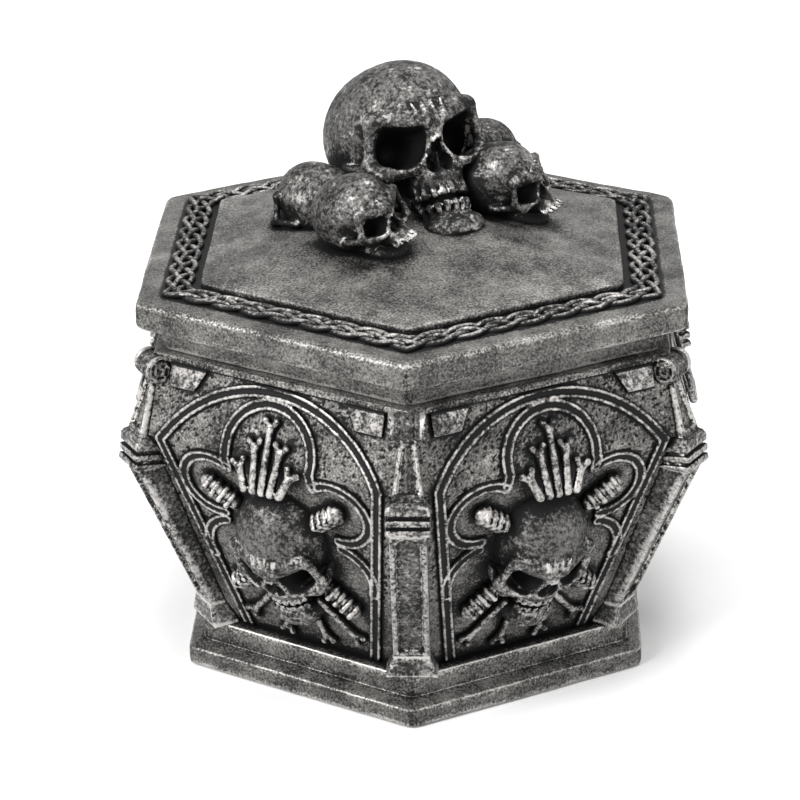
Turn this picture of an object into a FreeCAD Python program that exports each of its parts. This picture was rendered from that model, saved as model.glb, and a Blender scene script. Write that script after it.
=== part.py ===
import FreeCAD, Part
import math
import os
from FreeCAD import Placement, Rotation, Vector

# Hexagonal trinket box with a lift-off lid. Millimetres, +Z up, the origin on the table
# under the middle of the box, one corner pier at the front on -Y.

# Driving sizes of the box
SIDES = 6
PLINTH_CORNER = 50.0
PLINTH_EDGE_TOP = 3.75
STEP_CORNER = 46.7
STEP_FOOT = 5.0
STEP_TOP = 9.1
FIELD_FOOT_APOTHEM = 37.7
ELBOW_APOTHEM = 51.0
BOX_HEIGHT = 66.0
CREST_HEIGHT = 15.0
MOUTH_FIELD_APOTHEM = 46.3
RIM_HEIGHT = 1.3
RIM_PROUD = 0.7
FLOOR_THICKNESS = 5.0
WELL_FLOOR_APOTHEM = 31.0
WELL_APOTHEM = 40.0
WELL_STRAIGHT = 24.0

# Felt under the plinth
FELT_CORNER = 45.0
FELT_THICKNESS = 1.0
FELT_PROUD = 0.3

# Corner piers
PIER_HALF_WIDTH = 3.35
PIER_FOOT_HALF_WIDTH = 4.9
PIER_FOOT_HEIGHT = 4.4
PIER_FOOT_PROUD = 1.45
PIER_HEAD_PROUD = 3.5
PIER_HEAD_BELOW_ELBOW = 6.5
PIER_DEPTH = 9.0
PIER_PANEL_MARGIN = 1.05
PIER_PANEL_DEPTH = 0.7
CAPITAL_HALF_WIDTH = 4.0
CAPITAL_PROUD = 0.9
CAPITAL_PLATE = 1.3
CAPITAL_NECK = 0.6
CAPITAL_BEVEL = 2.6
CAPITAL_LEAN = math.radians(-8)
STRUT_FOOT_HALF_WIDTH = 2.9
STRUT_HEAD_HALF_WIDTH = 1.5
STRUT_PANEL_MARGIN = 0.7
STRUT_PANEL_DEPTH = 0.5
SCROLL_RADIUS = 2.7
SCROLL_PROUD = 0.94
SCROLL_HALF_WIDTH = 3.5
SCROLL_RIBS = 6
SCROLL_RIB_DEPTH = 0.35
SCROLL_BUTTON_RADIUS = 1.0
SCROLL_GROOVE = 0.6

# Tracery on each side of the box
MOULDING_WIDTH = 2.1
MOULDING_BASE = 0.45
BEAD_WIDTH = 0.85
BEAD_RISE = 0.45
FRAME_FOOT_HALF = 14.0
FRAME_ELBOW_HALF = 23.3
ARCH_TOP_MARGIN = 2.7
TOP_LOBE_HEIGHT = 1.8
TOP_LOBE_RADIUS = 9.15
SIDE_LOBE_OFFSET = 13.2
SIDE_LOBE_BELOW_ELBOW = 7.9
SIDE_LOBE_RADIUS = 6.6
FOOT_ARC_OFFSET = 10.8
FOOT_ARC_BELOW_ELBOW = 23.3
FOOT_ARC_RADIUS = 7.2
LUG_THICKNESS = 0.9
LUG_HEIGHT = 4.4
LUG_INNER_TOP = 14.9
LUG_INNER_FOOT = 17.3
LUG_OUTER = 22.8

# Bones on each side of the box
BONE_RADIUS = 0.75
KNUCKLE_RADIUS = 1.0
BONE_SINK = 0.25
FAN_BONES = 5
FAN_PITCH = 2.5
FAN_TOP = 7.4
FAN_STEP_DOWN = 4.1
FAN_FOOT_BELOW_ELBOW = 5.0
FAN_FOOT_SHARE = 0.4
LOW_BONE_FOOT = 13.0
LOW_BONE_TIPS = ((4.4, 3.2), (11.6, 5.4))
SPINE_RADIUS = 1.7
SPINE_DISC_RADIUS = 2.15
SPINE_DISC = 0.8
SPINE_DISCS = 4
SPINE_PITCH = 1.75
SPINE_LIFT = 0.9
UPPER_SPINE_ACROSS = 14.4
UPPER_SPINE_BELOW_ELBOW = 6.4
UPPER_SPINE_SLOPE = 37.0
LOWER_SPINE_ACROSS = 13.2
LOWER_SPINE_ABOVE_FOOT = 12.6
LOWER_SPINE_SLOPE = -43.0

# Lid
LID_GAP = 0.1
FRIEZE_FOOT_CORNER = 52.4
FRIEZE_TOP_CORNER = 53.4
FRIEZE_HEIGHT = 4.7
SLAB_CORNER = 57.9
SLAB_THICKNESS = 5.3
SLAB_TOP_ROUND = 1.6
SLAB_UNDER_ROUND = 1.2
SLAB_CORNER_ROUND = 3.0
PLUG_DEPTH = 5.0
PLUG_CLEARANCE = 0.6
HIP_CORNER = 44.6
HIP_EDGE = 1.4
HIP_RISE = 6.5

# Knot border on the lid
KNOT_MARGIN = 5.15
KNOT_GROOVE = 0.9
KNOT_THICKNESS = 0.9
KNOT_REPEATS = 8
KNOT_END = 1.4
KNOT_STRAND = 1.1
KNOT_ROWS = 4

# Skulls
MAIN_SKULL_WIDTH = 27.9
SMALL_SKULL_WIDTH = 15.0
PANEL_SKULL_WIDTH = 20.0
PANEL_SKULL_BELOW_ELBOW = 15.7
PANEL_SKULL_SUNK = 4.2
PANEL_SKULL_BOW = 9.0
SKULL_CLEARANCE = 1.02
TEETH = 8

# Derived levels and slopes
ELBOW_HEIGHT = BOX_HEIGHT - CREST_HEIGHT
WELL_STRAIGHT_FROM = BOX_HEIGHT - WELL_STRAIGHT
LID_FOOT = BOX_HEIGHT + LID_GAP
SLAB_FOOT = LID_FOOT + FRIEZE_HEIGHT
SLAB_TOP = SLAB_FOOT + SLAB_THICKNESS
HIP_TOP = SLAB_TOP + HIP_EDGE + HIP_RISE
KNOT_OUTER_CORNER = SLAB_CORNER - KNOT_MARGIN
FIELD_LEAN = math.atan2(ELBOW_APOTHEM - FIELD_FOOT_APOTHEM, ELBOW_HEIGHT - STEP_TOP)
FIELD_LENGTH = math.hypot(ELBOW_APOTHEM - FIELD_FOOT_APOTHEM, ELBOW_HEIGHT - STEP_TOP)
CREST_LEAN = math.atan2(MOUTH_FIELD_APOTHEM - ELBOW_APOTHEM, CREST_HEIGHT)
CREST_LENGTH = math.hypot(MOUTH_FIELD_APOTHEM - ELBOW_APOTHEM, CREST_HEIGHT)
ARCH_RISE = CREST_LENGTH - ARCH_TOP_MARGIN
FAR = 200.0

SIDE_NAMES = ("front_right", "right", "back_right", "back_left", "left", "front_left")
PIER_NAMES = ("front", "front_right", "back_right", "back", "back_left", "front_left")
UP = Vector(0, 0, 1)


def corner(apothem):
    return apothem / math.cos(math.pi / SIDES)


def apothem(corner_radius):
    return corner_radius * math.cos(math.pi / SIDES)


def field_corner(height):
    """Corner radius of the flared sides at a height below the elbow."""
    share = (height - STEP_TOP) / (ELBOW_HEIGHT - STEP_TOP)
    return corner(FIELD_FOOT_APOTHEM + share * (ELBOW_APOTHEM - FIELD_FOOT_APOTHEM))


PIER_FOOT_RADIUS = field_corner(STEP_TOP + PIER_FOOT_HEIGHT) + PIER_FOOT_PROUD
PIER_HEAD_HEIGHT = ELBOW_HEIGHT - PIER_HEAD_BELOW_ELBOW
PIER_HEAD_RADIUS = field_corner(PIER_HEAD_HEIGHT) + PIER_HEAD_PROUD
SCROLL_CENTRE_RADIUS = corner(MOUTH_FIELD_APOTHEM) + SCROLL_PROUD


def hexagon(corner_radius, height):
    """Corners of a level hexagon with one of them at the front."""
    angles = [math.radians(-90 + 360 / SIDES * k) for k in range(SIDES)]
    return [Vector(corner_radius * math.cos(a), corner_radius * math.sin(a), height) for a in angles]


def flat_face(points):
    return Part.Face(Part.makePolygon(points + points[:1]))


def closed(faces):
    """A solid from the flat faces that bound it."""
    shell = Part.Shell(faces)
    shell.sewShape()
    solid = Part.Solid(shell)
    if solid.Volume < 0:
        solid.reverse()
    return solid


def frustum(bottom, top):
    """A flat-sided solid between two level outlines with the same number of corners."""
    faces = [flat_face(bottom), flat_face(top)]
    for k in range(len(bottom)):
        after = (k + 1) % len(bottom)
        faces.append(flat_face([bottom[k], bottom[after], top[after], top[k]]))
    return closed(faces)


def hex_solid(start, end):
    """A hexagonal body between two (corner radius, height) levels."""
    return frustum(hexagon(*start), hexagon(*end))


def polygon_prism(points, height):
    """A prism on the XY plane from its outline."""
    return flat_face([Vector(x, y, 0) for x, y in points]).extrude(Vector(0, 0, height))


def fused(shapes):
    first, *rest = shapes
    return first.multiFuse(rest).removeSplitter() if rest else first


def main_piece(shape):
    """The largest solid of a cut shape, without the crumbs that the cut leaves."""
    return max(shape.Solids, key=lambda solid: solid.Volume)


def mirrored(shape):
    """The shape and its mirror image across the YZ plane."""
    return [shape, shape.mirror(Vector(0, 0, 0), Vector(1, 0, 0))]


def placed(shape, placement):
    result = shape.copy()
    result.Placement = placement.multiply(result.Placement)
    return result


def turned(shape, degrees):
    return placed(shape, Placement(Vector(0, 0, 0), Rotation(UP, degrees)))


def leaning(outward, height, lean):
    """A frame on a leaning face towards -Y: x across it, y up it and z out of it."""
    return Placement(Vector(0, -outward, height), Rotation(Vector(1, 0, 0), 90 + math.degrees(lean)))


FIELD = leaning(FIELD_FOOT_APOTHEM, STEP_TOP, FIELD_LEAN)
CREST = leaning(ELBOW_APOTHEM, ELBOW_HEIGHT, CREST_LEAN)


def below(shape, height):
    return shape.common(Part.makeBox(2 * FAR, 2 * FAR, FAR, Vector(-FAR, -FAR, height - FAR)))


def above(shape, height):
    return shape.common(Part.makeBox(2 * FAR, 2 * FAR, FAR, Vector(-FAR, -FAR, height)))


def round_bar(points, radius):
    """A round bar through points, with round ends and round bends."""
    bars = [Part.makeSphere(radius, point) for point in points]
    for start, end in zip(points, points[1:]):
        bars.append(Part.makeCylinder(radius, (end - start).Length, start, end - start))
    return fused(bars)


def felt_pad():
    return hex_solid((FELT_CORNER, 0), (FELT_CORNER, FELT_THICKNESS))


def plinth():
    foot = FELT_PROUD
    body = hex_solid((PLINTH_CORNER, foot), (PLINTH_CORNER, PLINTH_EDGE_TOP))
    slope = hex_solid((PLINTH_CORNER, PLINTH_EDGE_TOP), (STEP_CORNER, STEP_FOOT))
    step = hex_solid((STEP_CORNER, STEP_FOOT), (STEP_CORNER, STEP_TOP))
    recess = hex_solid((FELT_CORNER, 0), (FELT_CORNER, FELT_THICKNESS))
    return fused([body, slope, step]).cut(recess)


def bowl_outside():
    rim_foot = BOX_HEIGHT - RIM_HEIGHT
    rim_field = MOUTH_FIELD_APOTHEM + RIM_HEIGHT * math.tan(-CREST_LEAN)
    rim_apothem = rim_field + RIM_PROUD
    flare = hex_solid((corner(FIELD_FOOT_APOTHEM), STEP_TOP), (corner(ELBOW_APOTHEM), ELBOW_HEIGHT))
    crest = hex_solid((corner(ELBOW_APOTHEM), ELBOW_HEIGHT), (corner(rim_field), rim_foot))
    rim = hex_solid((corner(rim_apothem), rim_foot), (corner(MOUTH_FIELD_APOTHEM + RIM_PROUD), BOX_HEIGHT))
    return fused([flare, crest, rim])


def bowl():
    well_floor = STEP_TOP + FLOOR_THICKNESS
    taper = hex_solid((corner(WELL_FLOOR_APOTHEM), well_floor), (corner(WELL_APOTHEM), WELL_STRAIGHT_FROM))
    straight = hex_solid((corner(WELL_APOTHEM), WELL_STRAIGHT_FROM), (corner(WELL_APOTHEM), BOX_HEIGHT))
    return bowl_outside().cut(fused([taper, straight]))


def scroll():
    """The ribbed roll at the head of a pier, a revolved profile with a groove round each end button."""
    rib = 2 * SCROLL_HALF_WIDTH / SCROLL_RIBS
    trough = SCROLL_RADIUS - SCROLL_RIB_DEPTH
    end = SCROLL_HALF_WIDTH
    lip = (SCROLL_BUTTON_RADIUS + trough) / 2
    outline = [(-end, 0), (-end, SCROLL_BUTTON_RADIUS), (SCROLL_GROOVE - end, lip), (-end, trough)]
    for k in range(SCROLL_RIBS):
        outline.append((k * rib + rib / 4 - end, SCROLL_RADIUS))
        outline.append((k * rib + rib * 3 / 4 - end, SCROLL_RADIUS))
        outline.append((k * rib + rib - end, trough))
    outline += [(end - SCROLL_GROOVE, lip), (end, SCROLL_BUTTON_RADIUS), (end, 0)]
    profile = flat_face([Vector(x, y, 0) for x, y in outline])
    roll = profile.revolve(Vector(0, 0, 0), Vector(1, 0, 0), 360)
    roll.translate(Vector(0, -SCROLL_CENTRE_RADIUS, BOX_HEIGHT - LID_GAP - SCROLL_RADIUS))
    return roll


def pier_foot():
    top = STEP_TOP + PIER_FOOT_HEIGHT

    def outline(half, height):
        outer, inner = -PIER_FOOT_RADIUS, PIER_DEPTH - PIER_FOOT_RADIUS
        corners = ((-half, outer), (half, outer), (half, inner), (-half, inner))
        return [Vector(x, y, height) for x, y in corners]

    block = frustum(outline(PIER_FOOT_HALF_WIDTH, STEP_TOP), outline(PIER_HALF_WIDTH, top))
    return block.common(hex_solid((STEP_CORNER, STEP_TOP), (STEP_CORNER, top)))


def pier_shaft():
    """The leaning shaft with its round-headed sunk panel."""
    foot = STEP_TOP + PIER_FOOT_HEIGHT
    lean = math.atan2(PIER_HEAD_RADIUS - PIER_FOOT_RADIUS, PIER_HEAD_HEIGHT - foot)
    length = math.hypot(PIER_HEAD_RADIUS - PIER_FOOT_RADIUS, PIER_HEAD_HEIGHT - foot)
    tail = PIER_DEPTH * math.tan(lean)
    corner_point = Vector(-PIER_HALF_WIDTH, -tail, -PIER_DEPTH)
    shaft = Part.makeBox(2 * PIER_HALF_WIDTH, length + 2 * tail, PIER_DEPTH, corner_point)
    half = PIER_HALF_WIDTH - PIER_PANEL_MARGIN
    top = length - PIER_PANEL_MARGIN - half
    low_corner = Vector(-half, PIER_PANEL_MARGIN, -PIER_PANEL_DEPTH)
    sunk = Part.makeBox(2 * half, top - PIER_PANEL_MARGIN, FAR, low_corner)
    head = Part.makeCylinder(half, FAR, Vector(0, top, -PIER_PANEL_DEPTH), UP)
    shaft = placed(shaft.cut(sunk.fuse(head)), leaning(PIER_FOOT_RADIUS, foot, lean))
    return below(above(shaft, foot), PIER_HEAD_HEIGHT)


def pier_capital():
    """Two thin plates and a bevelled one stacked on the shaft, and the point where the strut starts."""
    wide, narrow = CAPITAL_HALF_WIDTH, STRUT_FOOT_HALF_WIDTH
    deep = PIER_DEPTH + CAPITAL_PROUD

    def plate(level):
        return Part.makeBox(2 * wide, CAPITAL_PLATE, deep, Vector(-wide, level, -PIER_DEPTH))

    upper = CAPITAL_PLATE + CAPITAL_NECK
    cap = upper + CAPITAL_PLATE + CAPITAL_NECK
    top = cap + CAPITAL_BEVEL
    neck = Part.makeBox(2 * PIER_HALF_WIDTH, top, PIER_DEPTH, Vector(-PIER_HALF_WIDTH, 0, -PIER_DEPTH))
    bevel = polygon_prism([(-wide, 0), (wide, 0), (wide, CAPITAL_BEVEL / 2), (narrow, CAPITAL_BEVEL),
                           (-narrow, CAPITAL_BEVEL), (-wide, CAPITAL_BEVEL / 2)], deep)
    bevel.translate(Vector(0, cap, -PIER_DEPTH))
    frame = leaning(PIER_HEAD_RADIUS, PIER_HEAD_HEIGHT, CAPITAL_LEAN)
    stack = placed(fused([plate(0), plate(upper), neck, bevel]), frame)
    return above(stack, PIER_HEAD_HEIGHT), frame.multVec(Vector(0, top, 0))


def pier_strut(foot_point):
    """The tapered strut that leans in from the capital to the scroll, with its sunk panel."""
    head_outward = SCROLL_CENTRE_RADIUS + SCROLL_RADIUS / 2
    head_height = BOX_HEIGHT - LID_GAP - 2 * SCROLL_RADIUS
    foot_outward, foot_height = -foot_point.y, foot_point.z
    lean = math.atan2(head_outward - foot_outward, head_height - foot_height)
    length = math.hypot(head_outward - foot_outward, head_height - foot_height)
    wide, narrow = STRUT_FOOT_HALF_WIDTH, STRUT_HEAD_HALF_WIDTH
    reach = SCROLL_RADIUS

    def tapered(margin, start, end, deep):
        points = []
        for side, level in ((-1, start), (1, start), (1, end), (-1, end)):
            half = wide + (narrow - wide) * level / length - margin
            points.append((side * half, level))
        return polygon_prism(points, deep)

    strut = tapered(0, -reach, length + reach, PIER_DEPTH)
    strut.translate(Vector(0, 0, -PIER_DEPTH))
    sunk = tapered(STRUT_PANEL_MARGIN, 2 * STRUT_PANEL_MARGIN, length - STRUT_PANEL_MARGIN, FAR)
    sunk.translate(Vector(0, 0, -STRUT_PANEL_DEPTH))
    return above(placed(strut.cut(sunk), leaning(foot_outward, foot_height, lean)), foot_height - reach)


def pier(outside):
    capital, capital_top = pier_capital()
    whole = fused([pier_foot(), pier_shaft(), capital, pier_strut(capital_top), scroll()])
    return below(whole.cut(outside), BOX_HEIGHT)


def moulding_profile():
    """Section of the double-bead moulding: x across it, z out of the wall."""
    half, base, crown = MOULDING_WIDTH / 2, MOULDING_BASE, MOULDING_BASE + BEAD_RISE
    outline = [(-half, 0), (-half, base)]
    for side in (-1, 1):
        middle = side * (half - BEAD_WIDTH / 2)
        outline += [(middle - BEAD_WIDTH / 4, crown), (middle + BEAD_WIDTH / 4, crown)]
        outline.append((middle + BEAD_WIDTH / 2, base))
        if side < 0:
            outline.append((half - BEAD_WIDTH, base))
    outline.append((half, 0))
    return flat_face([Vector(x, 0, z) for x, z in outline])


def straight_moulding(start, end):
    run = end - start
    profile = moulding_profile()
    profile.rotate(Vector(0, 0, 0), UP, math.degrees(math.atan2(run.y, run.x)) - 90)
    profile.translate(start)
    return profile.extrude(run)


def round_moulding(centre, radius, from_degrees, to_degrees):
    profile = moulding_profile()
    profile.translate(Vector(radius, 0, 0))
    profile.rotate(Vector(0, 0, 0), UP, from_degrees)
    ring = profile.revolve(Vector(0, 0, 0), UP, to_degrees - from_degrees)
    ring.translate(centre)
    return ring


def frame_half(level):
    """Half the width of the framed field at a level on the lower facet."""
    return FRAME_FOOT_HALF + (FRAME_ELBOW_HALF - FRAME_FOOT_HALF) * level / FIELD_LENGTH


def tracery():
    """Slanted frame, arch and trefoil of one side, mitred at the elbow between the two facets."""
    past = 2 * MOULDING_BASE
    foot_arc = Vector(FOOT_ARC_OFFSET, FIELD_LENGTH - FOOT_ARC_BELOW_ELBOW, 0)
    side_lobe = Vector(SIDE_LOBE_OFFSET, FIELD_LENGTH - SIDE_LOBE_BELOW_ELBOW, 0)
    top_end = Vector(TOP_LOBE_RADIUS, FIELD_LENGTH + past, 0)
    top_cusp = Vector(TOP_LOBE_RADIUS, FIELD_LENGTH - MOULDING_WIDTH, 0)
    half = [straight_moulding(Vector(frame_half(-past), -past, 0),
                              Vector(frame_half(FIELD_LENGTH + past), FIELD_LENGTH + past, 0)),
            round_moulding(side_lobe, SIDE_LOBE_RADIUS, -97, 128),
            round_moulding(foot_arc, FOOT_ARC_RADIUS, -22, 76),
            straight_moulding(top_cusp, top_end)]
    field = below(placed(fused([piece for item in half for piece in mirrored(item)]), FIELD), ELBOW_HEIGHT)

    arch_radius = (FRAME_ELBOW_HALF ** 2 + ARCH_RISE ** 2) / (2 * ARCH_RISE)
    arch_spring = math.degrees(math.asin((arch_radius - ARCH_RISE - past) / arch_radius))
    arch = round_moulding(Vector(0, ARCH_RISE - arch_radius, 0), arch_radius, arch_spring, 180 - arch_spring)
    lobe_spring = -math.degrees(math.asin((TOP_LOBE_HEIGHT + past) / TOP_LOBE_RADIUS))
    lobe = round_moulding(Vector(0, TOP_LOBE_HEIGHT, 0), TOP_LOBE_RADIUS, lobe_spring, 180 - lobe_spring)
    lug_top = CREST_LENGTH - RIM_HEIGHT / math.cos(CREST_LEAN)
    lug = polygon_prism([(LUG_INNER_TOP, lug_top), (LUG_INNER_FOOT, lug_top - LUG_HEIGHT),
                         (LUG_OUTER, lug_top - LUG_HEIGHT), (LUG_OUTER, lug_top)], LUG_THICKNESS)
    crest = above(placed(fused([arch, lobe]), CREST), ELBOW_HEIGHT)
    lugs = [below(placed(piece, CREST), BOX_HEIGHT - RIM_HEIGHT) for piece in mirrored(lug)]
    joined = above(fused([field, crest]), STEP_TOP)
    return Part.makeCompound([joined] + lugs)


def ellipse_wire(centre, half_x, half_y):
    """A closed ellipse on a level plane."""
    if half_x >= half_y:
        ends = (centre + Vector(half_x, 0, 0), centre + Vector(0, half_y, 0))
    else:
        ends = (centre + Vector(0, half_y, 0), centre - Vector(half_x, 0, 0))
    return Part.Wire([Part.Ellipse(ends[0], ends[1], centre).toShape()])


def ellipsoid(centre, half_x, half_y, half_z):
    ball = Part.makeSphere(1.0)
    ball.rotate(Vector(0, 0, 0), UP, 90)
    stretch = FreeCAD.Matrix()
    stretch.scale(half_x, half_y, half_z)
    ball = ball.transformGeometry(stretch)
    ball.translate(centre)
    return ball


def skull_mass(width):
    """Braincase and face of a skull that faces -Y, without its openings; its origin is in the braincase."""
    brow = ellipse_wire(Vector(0, -0.30, 0.02) * width, 0.36 * width, 0.26 * width)
    cheeks = ellipse_wire(Vector(0, -0.34, -0.27) * width, 0.28 * width, 0.24 * width)
    gum = ellipse_wire(Vector(0, -0.36, -0.45) * width, 0.19 * width, 0.20 * width)
    face = Part.makeLoft([brow, cheeks, gum], True, False)
    return fused([ellipsoid(Vector(0, 0, 0), 0.5 * width, 0.6 * width, 0.49 * width), face])


def skull(width, jaw):
    """A skull with sockets, nose, cheekbones and teeth; every size is a share of its width."""

    def at(x, y, z):
        return Vector(x, y, z) * width

    solid = skull_mass(width)
    sockets = []
    for side in (-1, 1):
        brow = round_bar([at(side * 0.05, -0.56, -0.045), at(side * 0.37, -0.42, 0.045)], 0.075 * width)
        arch = [at(side * 0.27, -0.43, -0.28), at(side * 0.5, -0.15, -0.27), at(side * 0.36, 0.1, -0.2)]
        cheek = round_bar(arch, 0.065 * width)
        solid = fused([solid, brow, cheek])
        socket_mouth = at(side * 0.215, -0.72, -0.155)
        sockets.append(Part.makeCone(0.165 * width, 0.06 * width, 0.5 * width, socket_mouth, Vector(0, 1, 0)))
    nose_outline = [(0, -0.21), (0.085, -0.35), (0.045, -0.39), (0, -0.36), (-0.045, -0.39), (-0.085, -0.35)]
    nose = polygon_prism([(x * width, z * width) for x, z in nose_outline], 0.4 * width)
    nose = placed(nose, Placement(at(0, -0.45, 0), Rotation(Vector(1, 0, 0), 90)))
    solid = solid.cut(Part.makeCompound(sockets + [nose]))

    gums = [(-0.40, -0.54)]
    parts = [solid]
    if jaw:
        gums.append((-0.57, -0.70))
        parts.append(Part.makeCone(0.27 * width, 0.22 * width, 0.2 * width, at(0, -0.35, -0.84)))
        for side in (-1, 1):
            jaw_bar = [at(side * 0.22, -0.28, -0.74), at(side * 0.34, -0.08, -0.28)]
            parts.append(round_bar(jaw_bar, 0.06 * width))
        parts.append(Part.makeCylinder(0.26 * width, 0.65 * width, at(0, -0.03, -0.7)))
        parts.append(Part.makeCylinder(0.17 * width, 0.30 * width, at(0, -0.36, -0.68)))
    for top, foot in gums:
        for k in range(TEETH):
            angle = math.radians(-150 + 120 * k / (TEETH - 1))
            place = at(0.19 * math.cos(angle), -0.37 + 0.19 * math.sin(angle), foot)
            parts.append(Part.makeCylinder(0.045 * width, (top - foot) * width, place))
    return fused(parts)


def skull_place(x, y, lift, heading, nod, lean):
    """Where a skull sits: lift above the hip's peak, heading from -Y towards +X, upward look and lean."""
    turn = Rotation(UP, heading).multiply(Rotation(Vector(1, 0, 0), -nod))
    return Placement(Vector(x, y, HIP_TOP + lift), turn.multiply(Rotation(Vector(0, 1, 0), lean)))


MAIN_SKULL_PLACE = skull_place(-2.6, 14.5, 9.2, 24, 31, 0)
SMALL_SKULL_PLACES = {
    "small_skull_front_left": skull_place(-10.8, -12.5, 3.2, 48, 28, -14),
    "small_skull_back_left": skull_place(-18.5, 3.0, -0.2, -120, 10, 0),
    "small_skull_front_right": skull_place(16.3, 6.4, 3.2, 62, 23, -11),
    "small_skull_back_right": skull_place(11.0, 19.0, 3.3, 110, 8, 0),
}


def hip_panel():
    edge_top = SLAB_TOP + HIP_EDGE
    ring = hexagon(HIP_CORNER, edge_top)
    apex = Vector(0, 0, HIP_TOP)
    slopes = [flat_face([ring[k - 1], ring[k], apex]) for k in range(SIDES)]
    roof = closed([flat_face(ring)] + slopes)
    return fused([hex_solid((HIP_CORNER, SLAB_TOP), (HIP_CORNER, edge_top)), roof])


def lid_slab():
    slab = flat_face(hexagon(SLAB_CORNER, SLAB_FOOT)).extrude(UP * SLAB_THICKNESS)
    upright = [e for e in slab.Edges if abs(e.tangentAt(e.FirstParameter).z) > 0.9]
    slab = slab.makeFillet(SLAB_CORNER_ROUND, upright)
    top = [e for e in slab.Edges if e.BoundBox.ZMin > SLAB_TOP - LID_GAP]
    slab = slab.makeFillet(SLAB_TOP_ROUND, top)
    under = [e for e in slab.Edges if e.BoundBox.ZMax < SLAB_FOOT + LID_GAP]
    slab = slab.makeFillet(SLAB_UNDER_ROUND, under)
    frieze = hex_solid((FRIEZE_FOOT_CORNER, LID_FOOT), (FRIEZE_TOP_CORNER, SLAB_FOOT + SLAB_UNDER_ROUND))
    plug_corner = corner(WELL_APOTHEM - PLUG_CLEARANCE)
    plug = hex_solid((plug_corner, LID_FOOT - PLUG_DEPTH), (plug_corner, LID_FOOT))
    return fused([slab, frieze, plug])


def knot_border():
    """A four-strand plait as a pierced band, its diamonds cut by a pattern along each side."""
    inner_corner = HIP_CORNER + corner(KNOT_GROOVE)
    top = SLAB_TOP + KNOT_THICKNESS
    band = hex_solid((KNOT_OUTER_CORNER, SLAB_TOP), (KNOT_OUTER_CORNER, top))
    band = band.cut(hex_solid((inner_corner, SLAB_TOP), (inner_corner, top)))
    width = apothem(KNOT_OUTER_CORNER) - apothem(inner_corner)
    rise = (width - KNOT_STRAND) / KNOT_ROWS
    middle = (apothem(KNOT_OUTER_CORNER) + apothem(inner_corner)) / 2
    pitch = (corner(middle) - 2 * KNOT_END) / KNOT_REPEATS
    run = pitch / 2
    slope = math.atan2(rise, run)
    half_long = run - KNOT_STRAND / 2 / math.sin(slope)
    half_wide = rise - KNOT_STRAND / 2 / math.cos(slope)
    outline = [(half_long, 0), (0, half_wide), (-half_long, 0), (0, -half_wide)]
    diamond = polygon_prism(outline, 3 * KNOT_THICKNESS)
    holes = []
    for row in range(1, KNOT_ROWS):
        across = (row - KNOT_ROWS / 2) * rise
        count = KNOT_REPEATS + row % 2
        for k in range(count):
            along = (k - (count - 1) / 2) * pitch
            hole = diamond.copy()
            hole.translate(Vector(along, across - middle, SLAB_TOP - KNOT_THICKNESS))
            holes.append(hole)
    for side in range(SIDES):
        band = band.cut(Part.makeCompound([turned(hole, (0.5 + side) * 360 / SIDES) for hole in holes]))
    return band


def long_bone(start, end):
    """A straight bone with two knuckles at its far end, lying on the wall."""
    axis = (end - start).normalize()
    across = axis.cross(UP) * KNUCKLE_RADIUS * 0.8
    knuckles = [Part.makeSphere(KNUCKLE_RADIUS, end + across), Part.makeSphere(KNUCKLE_RADIUS, end - across)]
    return fused([Part.makeCylinder(BONE_RADIUS, (end - start).Length, start, end - start)] + knuckles)


def spine(start, direction):
    """A run of vertebrae: a core with discs at an even pitch."""
    axis = direction.normalize()
    length = SPINE_DISCS * SPINE_PITCH
    discs = [Part.makeCylinder(SPINE_RADIUS, length, start, axis)]
    for k in range(SPINE_DISCS):
        foot = start + axis * (k * SPINE_PITCH + SPINE_DISC / 2)
        discs.append(Part.makeCylinder(SPINE_DISC_RADIUS, SPINE_DISC, foot, axis))
    return fused(discs)


def panel_skull_frame():
    """The skull of one side: it looks out of the lower facet, bowed a little, and is sunk into it."""
    seat = Vector(0, FIELD_LENGTH - PANEL_SKULL_BELOW_ELBOW, -PANEL_SKULL_SUNK)
    return FIELD.multiply(Placement(seat, Rotation(Vector(1, 0, 0), PANEL_SKULL_BOW - 90)))


def panel_bones():
    """Fan of bones above the skull, a run of spine at each corner and loose bones at the foot."""
    axis_lift = BONE_RADIUS - BONE_SINK
    crest = []
    for k in range(FAN_BONES):
        step = k - (FAN_BONES - 1) / 2
        tip = Vector(step * FAN_PITCH, FAN_TOP - abs(step) * FAN_STEP_DOWN, axis_lift)
        foot = Vector(tip.x * FAN_FOOT_SHARE, -FAN_FOOT_BELOW_ELBOW, axis_lift)
        crest.append(placed(long_bone(foot, tip), CREST))
    field = []
    for x, y in LOW_BONE_TIPS:
        foot = Vector(x * FAN_FOOT_SHARE, LOW_BONE_FOOT, axis_lift)
        field += mirrored(long_bone(foot, Vector(x, y, axis_lift)))
    upper_spine = (UPPER_SPINE_ACROSS, FIELD_LENGTH - UPPER_SPINE_BELOW_ELBOW, UPPER_SPINE_SLOPE)
    lower_spine = (LOWER_SPINE_ACROSS, LOWER_SPINE_ABOVE_FOOT, LOWER_SPINE_SLOPE)
    for x, y, slope in (upper_spine, lower_spine):
        way = Vector(math.cos(math.radians(slope)), math.sin(math.radians(slope)), 0)
        foot = Vector(x, y, SPINE_LIFT) - way * (SPINE_DISCS * SPINE_PITCH)
        field += mirrored(spine(foot, way))
    return crest + [placed(bone, FIELD) for bone in field]


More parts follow.
